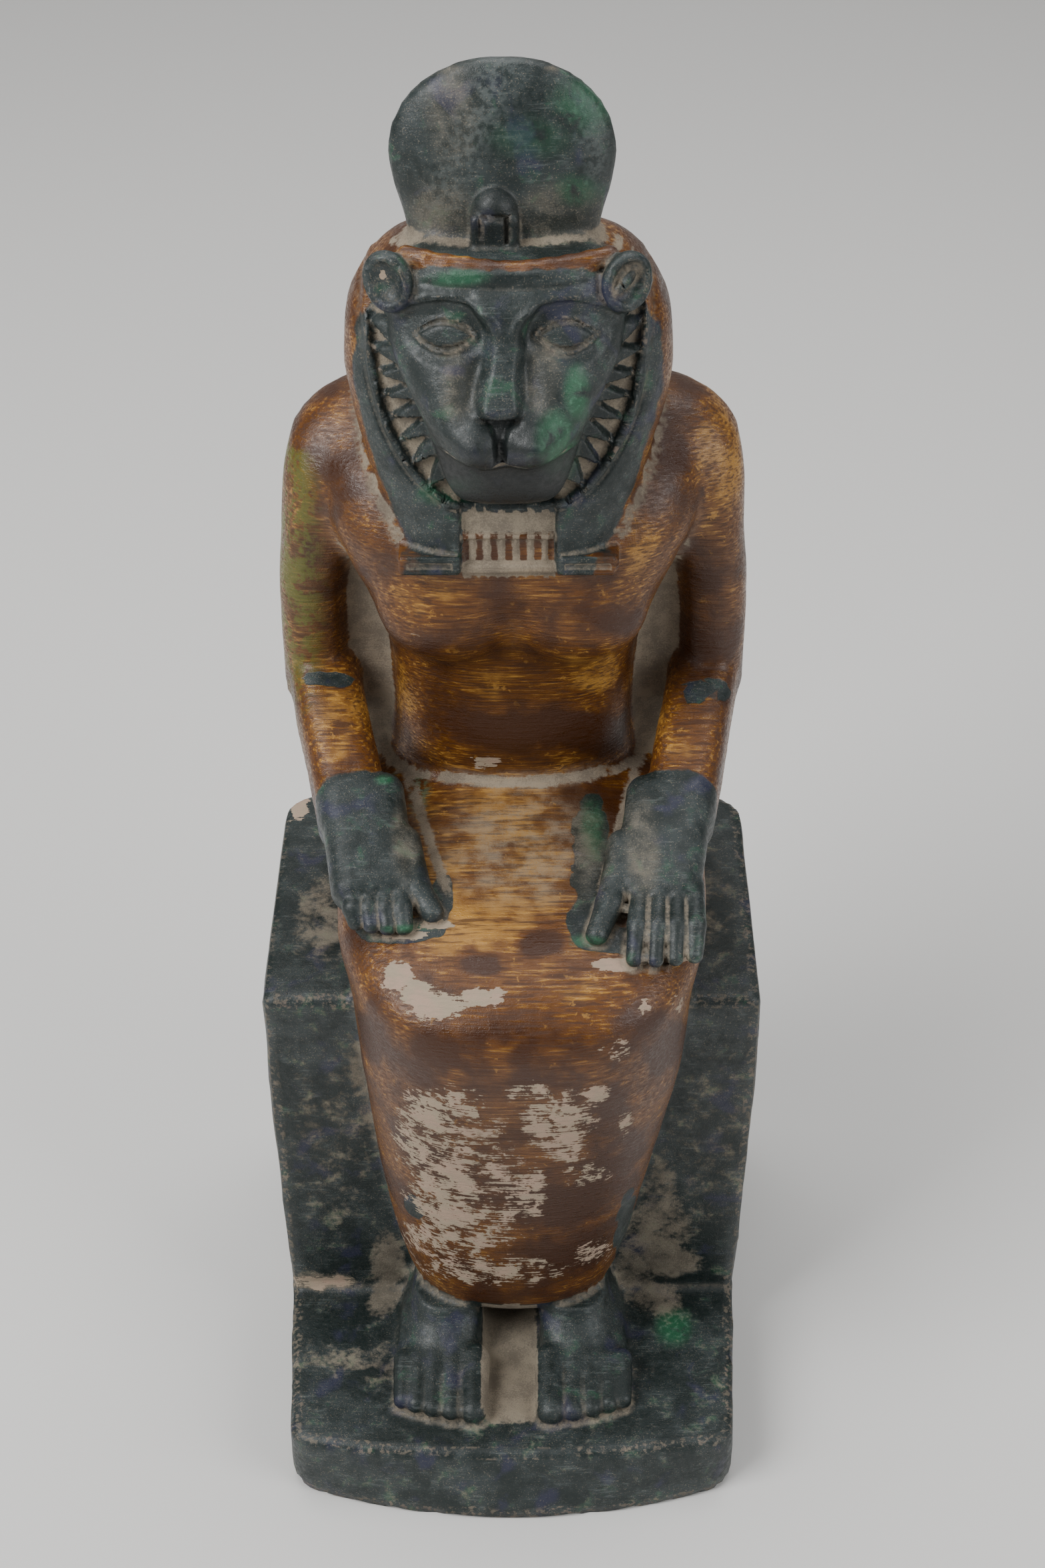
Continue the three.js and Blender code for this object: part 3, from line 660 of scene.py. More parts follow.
PARTS = dict(robe=ROBE, torso=TORSO, back=BACK, arms=ARMS, hands=HANDS, wig=WIG_FORM, face=FACE, ears=EARS,
             disc=DISC, uraeus=URAEUS, base=BASE, feet=FEET, collar=COLLAR, band=BAND)


def distance_at(points):
    return STATUE[2](*np.ascontiguousarray(points.T))


# Meshing: a net over a coarse grid, made finer where the carving is fine, and drawn onto the true surface

GRID_STEP = 1.95


def grid_field():
    start = np.array(STATUE[0]) - 2.3 * GRID_STEP
    counts = np.ceil((np.array(STATUE[1]) + 2.3 * GRID_STEP - start) / GRID_STEP).astype(int) + 1
    axes = [start[i] + GRID_STEP * np.arange(counts[i]) for i in range(3)]
    grid = np.stack(np.meshgrid(*axes, indexing="ij"), axis=-1).reshape(-1, 3)
    return distance_at(grid).reshape(counts), start


def surface_net(values, start):
    """One vertex in each cell that the surface crosses, and one quad across each grid edge it crosses."""
    inside = values < 0
    cells = tuple(n - 1 for n in values.shape)
    offsets = [(i, j, k) for i in (0, 1) for j in (0, 1) for k in (0, 1)]
    corner = {o: tuple(slice(d, d + n) for d, n in zip(o, cells)) for o in offsets}
    count = sum(inside[corner[o]].astype(np.int8) for o in offsets)
    cell = np.argwhere((count > 0) & (count < 8))
    number = np.full(cells, -1)
    number[tuple(cell.T)] = np.arange(len(cell))
    place = np.zeros((len(cell), 3))
    hits = np.zeros(len(cell))
    for a in offsets:
        for axis in range(3):
            if a[axis]:
                continue
            b = tuple(v + (i == axis) for i, v in enumerate(a))
            va, vb = values[tuple((cell + a).T)], values[tuple((cell + b).T)]
            crossed = (va < 0) != (vb < 0)
            share = np.where(crossed, va / np.where(crossed, va - vb, 1), 0)
            place += crossed[:, None] * (np.array(a) + share[:, None] * (np.array(b) - a))
            hits += crossed
    vertices = start + GRID_STEP * (cell + place / hits[:, None])
    quads = []
    for axis in range(3):
        u, v = (axis + 1) % 3, (axis + 2) % 3
        here = [slice(1, n) for n in cells]
        here[axis] = slice(0, cells[axis])
        ahead = list(here)
        ahead[axis] = slice(1, cells[axis] + 1)
        first, second = inside[tuple(here)], inside[tuple(ahead)]
        edge = np.argwhere(first != second)
        edge[:, u] += 1
        edge[:, v] += 1
        outward = first[first != second]
        ring = []
        for du, dv in ((1, 1), (0, 1), (0, 0), (1, 0)):
            step = np.zeros(3, int)
            step[u], step[v] = du, dv
            ring.append(number[tuple((edge - step).T)])
        ring = np.stack(ring, axis=1)
        quads.append(np.where(outward[:, None], ring, ring[:, ::-1]))
    return vertices, np.concatenate(quads)


# Boxes, in the figure's coordinates, where the net is cut finer: low corner, high corner, times
FINE_BOXES = [
    ([-31, 0, 112], [25, 34, 169], 2),
    ([-13, 16, 94], [9, 27, 122], 2),
    ([-40, -18, 26], [-14, 2, 40], 2),
    ([14, -26, 24], [41, 2, 40], 2),
    ([-46, -30, 24], [-12, 30, 52], 1),
    ([12, -30, 24], [46, 30, 52], 1),
    ([-32, -46, -94], [30, -14, -78], 1),
    ([-13, 28, 156], [4, 38, 178], 2),
    ([-27, 16, 94], [24, 36, 102], 2),
]


def refine(vertices, quads):
    mesh = bpy.data.meshes.new("net")
    mesh.from_pydata(vertices.tolist(), [], quads.tolist())
    bm = bmesh.new()
    bm.from_mesh(mesh)
    for level in (1, 2):
        edges = set()
        for start, end, times in FINE_BOXES:
            if times < level:
                continue
            for face_ in bm.faces:
                c = face_.calc_center_median()
                if all(start[i] < c[i] < end[i] for i in range(3)):
                    edges.update(face_.edges)
        bmesh.ops.subdivide_edges(bm, edges=list(edges), cuts=1, use_grid_fill=True)
    bmesh.ops.triangulate(bm, faces=[f for f in bm.faces if len(f.verts) > 4])
    bm.to_mesh(mesh)
    bm.free()
    return mesh


def positions(mesh):
    flat = np.empty(len(mesh.vertices) * 3)
    mesh.vertices.foreach_get("co", flat)
    return flat.reshape(-1, 3)


def slopes(points, step=0.12):
    """The direction in which the distance grows, at each point."""
    parts = []
    for axis in range(3):
        shift = np.zeros(3)
        shift[axis] = step
        parts.append(distance_at(points + shift) - distance_at(points - shift))
    return np.stack(parts, axis=1) / (2 * step)


def drawn_onto_surface(points, rounds=4):
    for _ in range(rounds):
        slope = slopes(points)
        square = np.maximum((slope ** 2).sum(1), 0.15)
        move = -(distance_at(points) / square)[:, None] * slope
        length = np.linalg.norm(move, axis=1, keepdims=True)
        points = points + move * np.minimum(1, 0.6 / np.maximum(length, 1e-9))
    return points


class Noise:
    """Smooth seeded noise in space, from -1 to 1."""

    def __init__(self, seed):
        self.lattice = np.random.default_rng(seed).uniform(-1, 1, (64, 64, 64))

    def __call__(self, points, scale):
        place = points / scale + 1000
        base = np.floor(place).astype(int)
        t = place - base
        t = t * t * (3 - 2 * t)
        total = np.zeros(len(points))
        for i in (0, 1):
            for j in (0, 1):
                for k in (0, 1):
                    weight = np.abs(1 - i - t[:, 0]) * np.abs(1 - j - t[:, 1]) * np.abs(1 - k - t[:, 2])
                    corner = (base + [i, j, k]) % 64
                    total += weight * self.lattice[corner[:, 0], corner[:, 1], corner[:, 2]]
        return total


def sculpted():
    values, start = grid_field()
    mesh = refine(*surface_net(values, start))
    points = drawn_onto_surface(positions(mesh))
    normals = slopes(points)
    normals /= np.linalg.norm(normals, axis=1, keepdims=True)
    return mesh, points, normals


# Places of each finish, and of the painted shade and highlights, kept on the mesh as numbers that the
# material reads

def occlusion(points, normals):
    """How shut in each point is, and how far out on an edge, both from 0 to 1."""
    close = np.clip(1 - distance_at(points + 1.2 * normals) / 1.2, 0, 1)
    sharp = np.clip(1 + distance_at(points - 1.2 * normals) / 1.2, 0, 1)
    arris = np.clip(7 * (1 + distance_at(points - 3 * normals) / 3), 0, 1) * (BASE[2](*points.T) < 0.3)
    return close, np.maximum(sharp, 0.72 * arris)


def spread(points, table):
    """Patches over the front: the strongest of rows of (x, rise, half width, half height, strength), where
    rise counts height and depth together, so that it runs on from the belly over the lap and the shins."""
    x, b, z = points.T
    rise = 0.8 * z + 0.6 * b
    most, least = np.zeros(len(points)), np.zeros(len(points))
    for cx, cr, rx, rr, much in table:
        here = much * smooth(1.4, 0.5, np.hypot((x - cx) / rx, (rise - cr) / rr))
        most, least = np.maximum(most, here), np.minimum(least, here)
    return most + least


def marked(**marks):
    """Rows for spread, from places marked on the photo in its pixels: how far across and down the middle of
    each is, its half width, its half height and its strength."""
    rows = []
    for across, down, half_width, half_height, strength in marks.values():
        mm = np.interp(down, *zip(*VIEW_DEPTH)) / FOCAL_PX
        x = (across - THRONE_MIDDLE_PX) * mm - FIGURE_SHIFT
        rise = SEAT_EDGE_DROP - (down - FRAME_HEIGHT_PX // 2) * mm
        rows.append((x, rise, half_width * mm, half_height * mm, strength))
    return rows


ROBE_LOSS = marked(
    knee_outer=(598, 1468, 26, 22, 1), knee_middle=(628, 1492, 30, 20, 1),
    knee_inner=(658, 1508, 48, 22, 1), knee_tail=(722, 1496, 40, 14, 0.9),
    left_shin_top=(642, 1680, 45, 50, 0.7), left_shin_inner=(690, 1656, 40, 30, 0.55),
    left_shin_outer=(618, 1720, 35, 60, 0.6), left_shin=(674, 1800, 70, 70, 0.68),
    left_shin_foot=(666, 1864, 80, 35, 0.6), middle_shin=(794, 1784, 30, 60, 0.5),
    right_shin_top=(802, 1640, 50, 20, 0.55), right_shin=(834, 1680, 60, 50, 0.62),
    right_shin_middle=(850, 1720, 35, 40, 0.6), right_shin_foot=(882, 1764, 35, 22, 0.6),
    right_fleck=(898, 1644, 20, 14, 0.9), right_streak=(942, 1688, 10, 35, 0.6),
    hem_left=(722, 1904, 120, 30, 0.55), hem_middle=(802, 1904, 50, 30, 0.55),
    hem_right=(890, 1888, 30, 30, 0.45), below_left_fingers=(610, 1404, 40, 9, 0.9),
    below_left_thumb=(660, 1386, 30, 10, 0.9), below_right_fingers=(930, 1448, 45, 10, 0.85),
    beside_right_fingers=(1034, 1432, 20, 12, 0.85), waist=(730, 1144, 25, 9, 0.9),
    chest=(623, 961, 9, 8, 0.95), right_knee_edge=(1022, 1512, 14, 22, 0.42),
    right_knee_fleck=(970, 1508, 8, 8, 0.95), below_right_knee=(930, 1576, 30, 20, 0.38),
) + [(-12.0, -34.0, 12.0, 13.0, 0.5), (-10.0, -50.0, 13.0, 7.0, 0.5)]
BASE_LOSS = [(-53.4, 41.8, 2.4, 3.0, 0.95), (-47.8, -72.6, 9.0, 1.8, 0.7)]
# Lacquer tones over the front: the dark rows are stains and darker lacquer; the gold rows on the lap, elbows,
# shoulder, side and breast are partly painted light, gold where the lacquer is lit.
LACQUER_TONES_AND_LIGHT = marked(
    lap=(746, 1320, 130, 120, 0.8), lap_back=(730, 1216, 110, 50, 0.6),
    lap_front=(818, 1432, 150, 60, 0.35), lap_stain=(810, 1416, 32, 20, -1.6),
    lap_left_stain=(722, 1448, 34, 15, -1.2), below_knees=(754, 1576, 200, 40, -0.35),
    right_shin=(922, 1720, 50, 100, -0.6), right_knee=(1002, 1576, 40, 50, -1),
    left_knee=(560, 1560, 30, 60, -0.6), left_elbow=(506, 1085, 50, 60, 0.7),
    right_elbow=(1030, 1110, 50, 45, 0.7), belly_left=(749, 1096, 60, 25, -0.9),
    belly_right=(867, 1096, 60, 30, -0.9), belly_top=(740, 1000, 60, 50, 0.3),
    left_side=(656, 1054, 60, 40, -0.2), right_side=(892, 995, 35, 50, 0.6),
    beside_left_arm=(614, 1028, 22, 60, 0.6), left_breast=(648, 902, 60, 40, 0.4),
    right_breast=(816, 944, 90, 40, -0.35), right_shoulder=(1069, 692, 40, 100, 0.7),
    right_shoulder_inner=(1000, 700, 30, 60, -0.4), left_shoulder=(600, 800, 40, 60, -0.3),
    right_upper_arm=(1069, 944, 35, 70, -0.4),
) + [(10, -52, 14, 12, -0.45), (24, -15, 8, 10, -0.35), (-24, -12, 8, 8, -0.35), (0, -12, 26, 6, -0.2)]
ELBOW_SLATE = marked(left_elbow=(484, 1016, 52, 15, 1)) + [(41.0, 68.0, 6.5, 3.6, 1)]
MOSS = [(-48.5, 98, 6.0, 32.0, 1)]
EAR_CHIP = [(-25.9, 144.7, 0.75, 0.8, 1)]
VEIL = [
    (0.4, 34.5, 17.0, 13.0, 1), (-11.6, 123.9, 3.4, 6.5, 0.6), (4.6, 125.2, 3.2, 6.5, 0.7),
    (-15.4, 157, 6.0, 6.0, 0.6), (8.5, 157, 8.0, 5.0, 0.6), (-12.6, 174, 4.5, 9.0, 0.5),
    (26.0, 34.0, 3.5, 10.0, 0.7), (-24.0, 36.0, 3.0, 9.0, 0.6),
]
SPILL = [
    (15.8, 31.0, 4.6, 16.0, 1), (14.2, 19.0, 4.0, 6.0, 1), (23.0, 14.8, 8.5, 2.4, 1),
    (-25.5, 16.6, 9.5, 2.4, 1), (-16.4, 24.0, 2.4, 4.5, 0.9), (24.6, -56.0, 3.0, 13.0, 0.9),
    (-23.5, -47.0, 2.6, 3.4, 0.8),
]
BRIGHT_GREEN = [
    (11.2, 122.6, 2.4, 4.9, 1), (7.4, 113.5, 3.9, 5.4, 1), (-11.6, 143.3, 5.8, 1.5, 0.8),
    (-14.6, 106.3, 5.3, 1.9, 0.8), (12.4, 175.9, 5.6, 4.4, 0.65), (2.4, 169.6, 7.5, 3.1, 0.3),
    (11.3, 161.4, 3.8, 2.5, 0.6), (36.8, -81.7, 4, 3.2, 1), (-29.0, 48.5, 1.8, 1.0, 1),
    (14.4, 14.6, 3.5, 1.2, 1), (-23.7, 17.3, 6.0, 0.8, 0.9), (-22.3, 45.3, 2.0, 5.0, 0.7),
    (16.1, 38.3, 2.5, 6.0, 0.7),
]
BASE_WORN = [
    (-35.5, -16.0, 3.0, 7.5, 0.6), (-31.4, -67.6, 4.0, 8.0, 0.8), (-32.0, -76.0, 4.8, 4.0, 0.8),
    (-47.8, -72.6, 9.0, 2.2, 0.9), (32.8, -57.3, 7.9, 9.5, 0.6), (27.0, -69.2, 4.8, 8.0, 0.6),
    (33.5, -76.0, 6.4, 3.2, 0.7), (-44.1, 17.0, 7.6, 9.2, 0.5), (-10.0, -88.0, 40.0, 4.0, 0.4),
    (44.0, 20.0, 6.0, 13.0, 0.3), (-43.0, -35.0, 9.0, 24.0, 0.22), (44.0, -36.0, 9.0, 24.0, 0.2),
    (36.0, -67.0, 8.0, 4.0, 0.8), (-33.0, -24.0, 4.0, 12.0, 0.5), (33.0, -50.0, 4.0, 12.0, 0.5),
]


def lacquered(points, normals, apart):
    """How far inside the amber lacquer each point is, or below 0 how far into the dark green paint."""
    x, b, z = points.T
    head_x = x - HEAD_X
    wig_side = np.maximum(np.abs(head_x) - (wig_half(z) - 2.6), 6 * normals[:, 1] - 1.5)
    wig_brown = np.where(z > 155, np.maximum(wig_side, z - 161.5), wig_side)
    wrist = b - 21 + 0.25 * (np.abs(x) - 35)
    hem_z = -77.5
    brown = np.minimum.reduce([
        np.maximum(apart["robe"], hem_z - z), apart["torso"], apart["back"], apart["band"],
        np.maximum(apart["arms"], -wrist),
        np.maximum(apart["wig"], -wig_brown),
    ])
    green = np.minimum.reduce([
        *(apart[name] for name in ("hands", "face", "ears", "disc", "uraeus", "base", "feet")),
        np.maximum(apart["wig"], wig_brown),
        np.maximum(apart["arms"], wrist),
        np.maximum(apart["robe"], z - hem_z),
    ])
    elbow = spread(points, ELBOW_SLATE) * (z < 60) * smooth(1.5, 0.5, apart["arms"])
    spilt = spread(points, SPILL) * (apart["robe"] < 2.5)
    ragged = 1 + 0.9 * Noise(5)(points, 3.5) + 0.5 * Noise(6)(points, 1.5)
    eaten = np.maximum(4.6 * ragged * elbow, 8 * np.maximum(ragged, 0.75) * spilt)
    in_strip = (np.abs(head_x) < LAPPET_INNER - 0.4) & (z > 95) & (z < 105) & (b < 33)
    return np.where(in_strip, 2.5, np.clip(green - brown, -4, 4) - eaten)


def lips(points, apart):
    x, _, z = points.T
    side = np.abs(x - FACE_X)
    return bump(z - lip_height(side), 0.7) * smooth(13.5, 11, side) * smooth(0.8, 0, apart["face"])


def dusty(points, normals, apart):
    """How much pale dust or bare stone shows in the carving's hollows, from 0 to 1."""
    x, b, z = points.T
    head_x = x - HEAD_X
    on_front = smooth(0.2, -0.1, np.minimum(normals[:, 1], 0.3 - normals[:, 2])) * (b < 60)
    arm_middle = np.minimum(31 + 0.27 * (b + 2), 43.6)
    inside_arm = smooth(arm_middle - 2, arm_middle - 5, np.abs(x - BODY_X))
    inside_arm *= (z > 22) * smooth(96, 90, z) * on_front
    gap = np.minimum.reduce(list(apart.values()))
    web = np.minimum(apart["arms"], apart["torso"]) - apart["back"]
    beside_arms = np.maximum(smooth(0.15, 0.9, gap), smooth(-0.4, 1.2, web)) * inside_arm

    beside_wig = smooth(5, 0.6, apart["wig"]) * smooth(92, 98, z) * (apart["wig"] > 0.2) * (b > 28)
    beside_wig *= np.minimum.reduce([apart["torso"], apart["back"], apart["arms"]]) < 0.9

    stroke = smooth(0.95, 0.5, np.abs(head_x % COLLAR_STROKE_STEP - COLLAR_STROKE_STEP / 2))
    bare_throat = smooth(104.4, 105.4, z) * smooth(110, 108.5, z)
    throat = np.maximum.reduce([bare_throat, smooth(98.5, 97.9, z), 0.9 * stroke])
    throat *= smooth(LAPPET_INNER + 0.2, LAPPET_INNER - 0.6, np.abs(head_x)) * (z > 94) * (z < 110)
    throat *= (b < 32) * smooth(3, 1, np.minimum(apart["wig"], apart["collar"]))

    between_feet = smooth(6.9, 6.1, np.abs(x + 2.2)) * smooth(-43, -38, b) * (b < 2) * (z < -78)
    below_disc = smooth(4.5, 0, np.maximum(apart["disc"], 0)) * smooth(6, 1, apart["wig"])
    below_disc *= (z > 160) * (z < 173)
    angle, share, _, inside = ruff_place(x - FACE_X, z)
    pit = smooth(0.04, -0.14, inside) * smooth(-0.02, 0.15, share) * smooth(1.0, 0.88, share)
    pit *= smooth(LOCKS_TO + 0.1, LOCKS_TO, angle) * (apart["wig"] < 0.8) * (b < 45) * (z > 110)
    bowl = smooth(-0.2, 1.2, apart["ears"] - EAR_CUPS[2](x, b, z)) * (apart["ears"] < 0.5)

    rise = 0.8 * z + 0.6 * b
    beside_left = bump(x + 29.3 - 0.385 * (61 - rise), 1.4)
    beside_right = bump(x - 29.5 + 0.327 * (61 - rise), 1.4)
    beside_hands = np.maximum(beside_left, beside_right) * smooth(21, 27, rise) * smooth(66, 58, rise)
    beside_hands *= (apart["robe"] < 2.5) * (z > 20)
    return np.maximum.reduce([
        beside_arms, 0.6 * beside_wig, throat, between_feet, 0.8 * below_disc, 0.6 * pit, 0.25 * bowl,
        0.85 * beside_hands, 0.7 * lips(points, apart)])


def painted_shade_and_dark_paint(points, apart):
    """Painted shade in the cleft and on the jaw under the mouth, a darker muzzle, and the uraeus's black
    paint, from 0 to 1.
    """
    x, _, z = points.T
    lip_z = lip_height(np.abs(x - FACE_X))
    cleft = smooth(1.9, 1.0, np.abs(x - FACE_X + 1.1)) * smooth(127.5, 129, z) * smooth(138.5, 137, z)
    jaw = smooth(lip_z - 0.6, lip_z - 1.8, z) * smooth(112, 115, z)
    muzzle = 0.6 * smooth(13, 5, np.hypot(x - FACE_X, (z - 132) * 1.1))
    on_face = smooth(0.8, 0, apart["face"]) * (1 - lips(points, apart))
    on_uraeus = smooth(0.5, -0.3, apart["uraeus"])
    return np.maximum(on_face * np.maximum.reduce([cleft, jaw, muzzle]), 0.8 * on_uraeus)


def finish_fields(points, normals):
    x, b, z = points.T
    apart = {name: form[2](x, b, z) for name, form in PARTS.items()}
    on_figure = np.minimum.reduce([apart[name] for name in ("robe", "torso", "arms", "back")]) < 0.9
    on_base = apart["base"] < 0.5
    loss = spread(points, ROBE_LOSS) * on_figure * ~on_base + spread(points, BASE_LOSS) * on_base
    # Painted highlights on the disc: a slanting and an upright pale band where its face catches the light.
    painted_disc_highlights = smooth(164, 172, z) * bump(x + 12 - 0.45 * (z - 178), 4.5)
    painted_disc_highlights += smooth(170, 176, z) * bump(x - 15, 3)
    return dict(
        lacquer=lacquered(points, normals, apart),
        bare=dusty(points, normals, apart),
        shade_and_dark_paint=painted_shade_and_dark_paint(points, apart),
        loss=loss + spread(points, EAR_CHIP) * (apart["ears"] < 0.6),
        worn=(0.12 + spread(points, BASE_WORN)) * on_base,
        tone_and_light=spread(points, LACQUER_TONES_AND_LIGHT) * on_figure,
        veil=spread(points, VEIL) * (b < 48),
        moss=spread(points, MOSS) * (apart["arms"] < 1.5),
        bright=spread(points, BRIGHT_GREEN) * (b < 50),
        head=smooth(108, 114, z) * smooth(3, 0, np.minimum(apart["wig"], apart["face"])),
        painted_disc_highlights=painted_disc_highlights,
    )


# Shader building

class Shader:
    """Adds nodes to a material, each call giving the new node's output."""

    def __init__(self, name):
        self.material = bpy.data.materials.new(name)
        self.material.use_nodes = True
        self.tree = self.material.node_tree
        self.surface = self.tree.nodes["Principled BSDF"]
        self.coordinates = self.tree.nodes.new("ShaderNodeTexCoord").outputs["Object"]

    def node(self, kind, inputs=(), **settings):
        made = self.tree.nodes.new(kind)
        for key, value in settings.items():
            setattr(made, key, value)
        for key, value in dict(inputs).items():
            self.put(made.inputs[key], value)
        return made

    def put(self, socket, value):
        if isinstance(value, bpy.types.NodeSocket):
            self.tree.links.new(value, socket)
        else:
            socket.default_value = value

    def attribute(self, name):
        return self.node("ShaderNodeAttribute", attribute_name=name).outputs["Fac"]

    def stretched(self, scale, turn_by=(0, 0, 0)):
        inputs = {"Vector": self.coordinates, "Scale": scale, "Rotation": turn_by}
        return self.node("ShaderNodeMapping", inputs).outputs["Vector"]

    def noise(self, size, detail=4, roughness=0.55, stretch=None, distortion=0.0, turn_by=(0, 0, 0)):
        """Noise whose features are about so many millimetres across."""
        vector = self.stretched(stretch, turn_by) if stretch else self.coordinates
        inputs = {"Vector": vector, "Scale": 1 / (size * MM), "Detail": detail, "Roughness": roughness,
                  "Distortion": distortion}
        return self.node("ShaderNodeTexNoise", inputs).outputs["Fac"]

    def math(self, operation, *values):
        made = self.node("ShaderNodeMath", operation=operation)
        for socket, value in zip(made.inputs, values):
            self.put(socket, value)
        return made.outputs[0]

    def times(self, a, b):
        return self.math("MULTIPLY", a, b)

    def plus(self, a, b):
        return self.math("ADD", a, b)

    def minus(self, a, b):
        return self.math("SUBTRACT", a, b)

    def most(self, a, b):
        return self.math("MAXIMUM", a, b)

    def span(self, value, start, end, to_start=0.0, to_end=1.0):
        """Maps a value smoothly from one range to another."""
        inputs = {"Value": value, "From Min": start, "From Max": end, "To Min": to_start, "To Max": to_end}
        return self.node("ShaderNodeMapRange", inputs, interpolation_type="SMOOTHSTEP").outputs["Result"]

    def mix(self, factor, a, b):
        made = self.node("ShaderNodeMix", data_type="RGBA")
        self.put(made.inputs["Factor"], factor)
        self.put(made.inputs[6], (*a, 1) if isinstance(a, tuple) else a)
        self.put(made.inputs[7], (*b, 1) if isinstance(b, tuple) else b)
        return made.outputs[2]

    def blend(self, factor, a, b):
        """Mixes two numbers."""
        made = self.node("ShaderNodeMix", data_type="FLOAT")
        for key, value in (("Factor", factor), ("A", a), ("B", b)):
            self.put(made.inputs[key], value)
        return made.outputs[0]


STONE = (0.35, 0.28, 0.20)
STONE_PINK = (0.39, 0.275, 0.205)
DUST = (0.28, 0.235, 0.172)
DARK_DUST = (0.18, 0.15, 0.112)
GREEN_BLACK = (0.008, 0.015, 0.014)
SLATE = (0.024, 0.034, 0.034)
GREY = (0.11, 0.13, 0.125)
VERDIGRIS = (0.018, 0.095, 0.045)
PALE_GREEN = (0.10, 0.24, 0.15)
INDIGO = (0.022, 0.024, 0.055)
AMBER = (0.125, 0.043, 0.005)
GOLD = (0.44, 0.225, 0.045)
UMBER = (0.046, 0.014, 0.003)
OLIVE = (0.10, 0.115, 0.012)
NEAR_BLACK = (0.006, 0.008, 0.008)


def painted_stone():
    s = Shader("painted_stone")
    field = {name: s.attribute(name) for name in (
        "lacquer", "bare", "close", "sharp", "shade_and_dark_paint", "loss", "worn", "tone_and_light", "moss", "bright", "head",
        "painted_disc_highlights", "veil")}

    clouds = s.noise(15, 3, 0.5, distortion=0.3)
    medium = s.noise(5, 4, 0.55)
    fine = s.noise(1.2, 4, 0.6)
    grain = s.noise(0.32, 3, 0.6)
    lines = s.noise(0.5, 3, 0.6, stretch=(0.055, 0.55, 1.0), turn_by=(0, 0.07, 0))
    strokes = s.noise(0.9, 4, 0.6, stretch=(0.3, 1.0, 0.9), turn_by=(0.3, 0.6, 0.5))
    patches = s.noise(5, 5, 0.6, distortion=0.5)

    def about(value, strength):
        return s.times(s.minus(value, 0.5), strength)

    stone = s.mix(s.span(medium, 0.4, 0.65), STONE, STONE_PINK)
    stone = s.mix(s.span(lines, 0.45, 0.62, 0, 0.4), stone, DUST)
    dusty = s.mix(s.span(s.plus(about(grain, 0.8), medium), 0.35, 0.65), DARK_DUST, DUST)
    dusty = s.mix(s.span(grain, 0.62, 0.72, 0, 0.35), dusty, STONE)

    mottle = s.plus(s.times(clouds, 0.5), s.times(medium, 0.5))
    green = s.mix(s.span(mottle, 0.42, 0.6), GREEN_BLACK, SLATE)
    green = s.mix(s.span(patches, 0.56, 0.72, 0, 0.5), green, VERDIGRIS)
    green = s.mix(s.span(s.noise(9, 3, 0.5, distortion=0.4), 0.56, 0.7, 0, 0.7), green, INDIGO)
    brushed = s.times(s.span(strokes, 0.52, 0.68), s.span(medium, 0.4, 0.65))
    green = s.mix(s.times(brushed, 0.3), green, GREY)
    # painted highlights: the disc's two bands turn its paint grey
    green = s.mix(s.times(field["painted_disc_highlights"], s.span(fine, 0.4, 0.62, 0.1, 0.55)), green, GREY)
    scratches = s.noise(0.45, 2, 0.5, stretch=(0.07, 1.0, 1.0), turn_by=(0.2, 0.5, 0.9))
    scratches = s.times(s.span(scratches, 0.6, 0.66), s.span(medium, 0.42, 0.58))
    green = s.mix(s.times(scratches, 0.35), green, GREY)
    speckle = s.times(s.span(grain, 0.58, 0.68), s.span(mottle, 0.4, 0.58, 0.25, 1))
    green = s.mix(s.times(speckle, 0.5), green, DUST)
    vivid = s.times(field["bright"], s.span(patches, 0.3, 0.5))
    green = s.mix(vivid, green, s.mix(s.span(fine, 0.5, 0.7, 0, 0.6), VERDIGRIS, PALE_GREEN))
    bald = s.plus(s.plus(field["worn"], about(patches, 1.7)), about(fine, 1.1))
    bald = s.times(s.span(bald, 0.25, 0.8), s.span(field["worn"], 0.02, 0.15))
    green = s.mix(s.times(bald, 0.62), green, dusty)

    # The tone rows bring the lacquer's stains and darker places, and painted light on its lit gold places.
    depth = s.plus(s.plus(about(clouds, 3.0), about(medium, 1.6)), field["tone_and_light"])
    amber = s.mix(s.span(depth, -0.6, 0.35), UMBER, AMBER)
    amber = s.mix(s.span(depth, 0.3, 1.3, 0, 0.85), amber, GOLD)
    amber = s.mix(s.span(lines, 0.38, 0.5, 0.75, 0), amber, UMBER)
    # Painted highlights: gold glints along the fine scratch lines, and gold spots in the darker lacquer.
    painted_glint_lines = s.times(s.span(lines, 0.55, 0.66), s.span(depth, -0.4, 0.7))
    amber = s.mix(s.times(painted_glint_lines, 0.8), amber, GOLD)
    painted_glints = s.times(s.span(s.noise(2.2, 3, 0.6), 0.64, 0.7), s.span(depth, -0.6, 0.4))
    amber = s.mix(s.times(painted_glints, 0.55), amber, GOLD)
    moss = s.times(field["moss"], s.span(s.plus(patches, about(fine, 0.6)), 0.42, 0.56, 0.05, 0.75))
    amber = s.mix(moss, amber, OLIVE)

    edge = s.plus(field["lacquer"], about(medium, 3.0))
    is_lacquer = s.span(edge, -0.4, 0.4)
    colour = s.mix(is_lacquer, green, amber)
    vivid_edge = s.times(s.times(field["bright"], is_lacquer), s.span(fine, 0.4, 0.6))
    colour = s.mix(s.times(vivid_edge, 0.7), colour, PALE_GREEN)

    flaked = s.plus(s.plus(field["loss"], about(patches, 2.0)), about(lines, 1.6))
    flaked = s.span(s.plus(flaked, about(fine, 0.9)), 0.46, 0.53)
    flaked = s.times(flaked, s.span(field["loss"], 0.08, 0.2))
    colour = s.mix(flaked, colour, stone)

    rubbed = s.times(s.span(field["sharp"], 0.5, 0.95), s.span(fine, 0.5, 0.6))
    rubbed = s.times(rubbed, s.span(field["head"], 0, 1, 0.6, 0.4))
    colour = s.mix(rubbed, colour, stone)

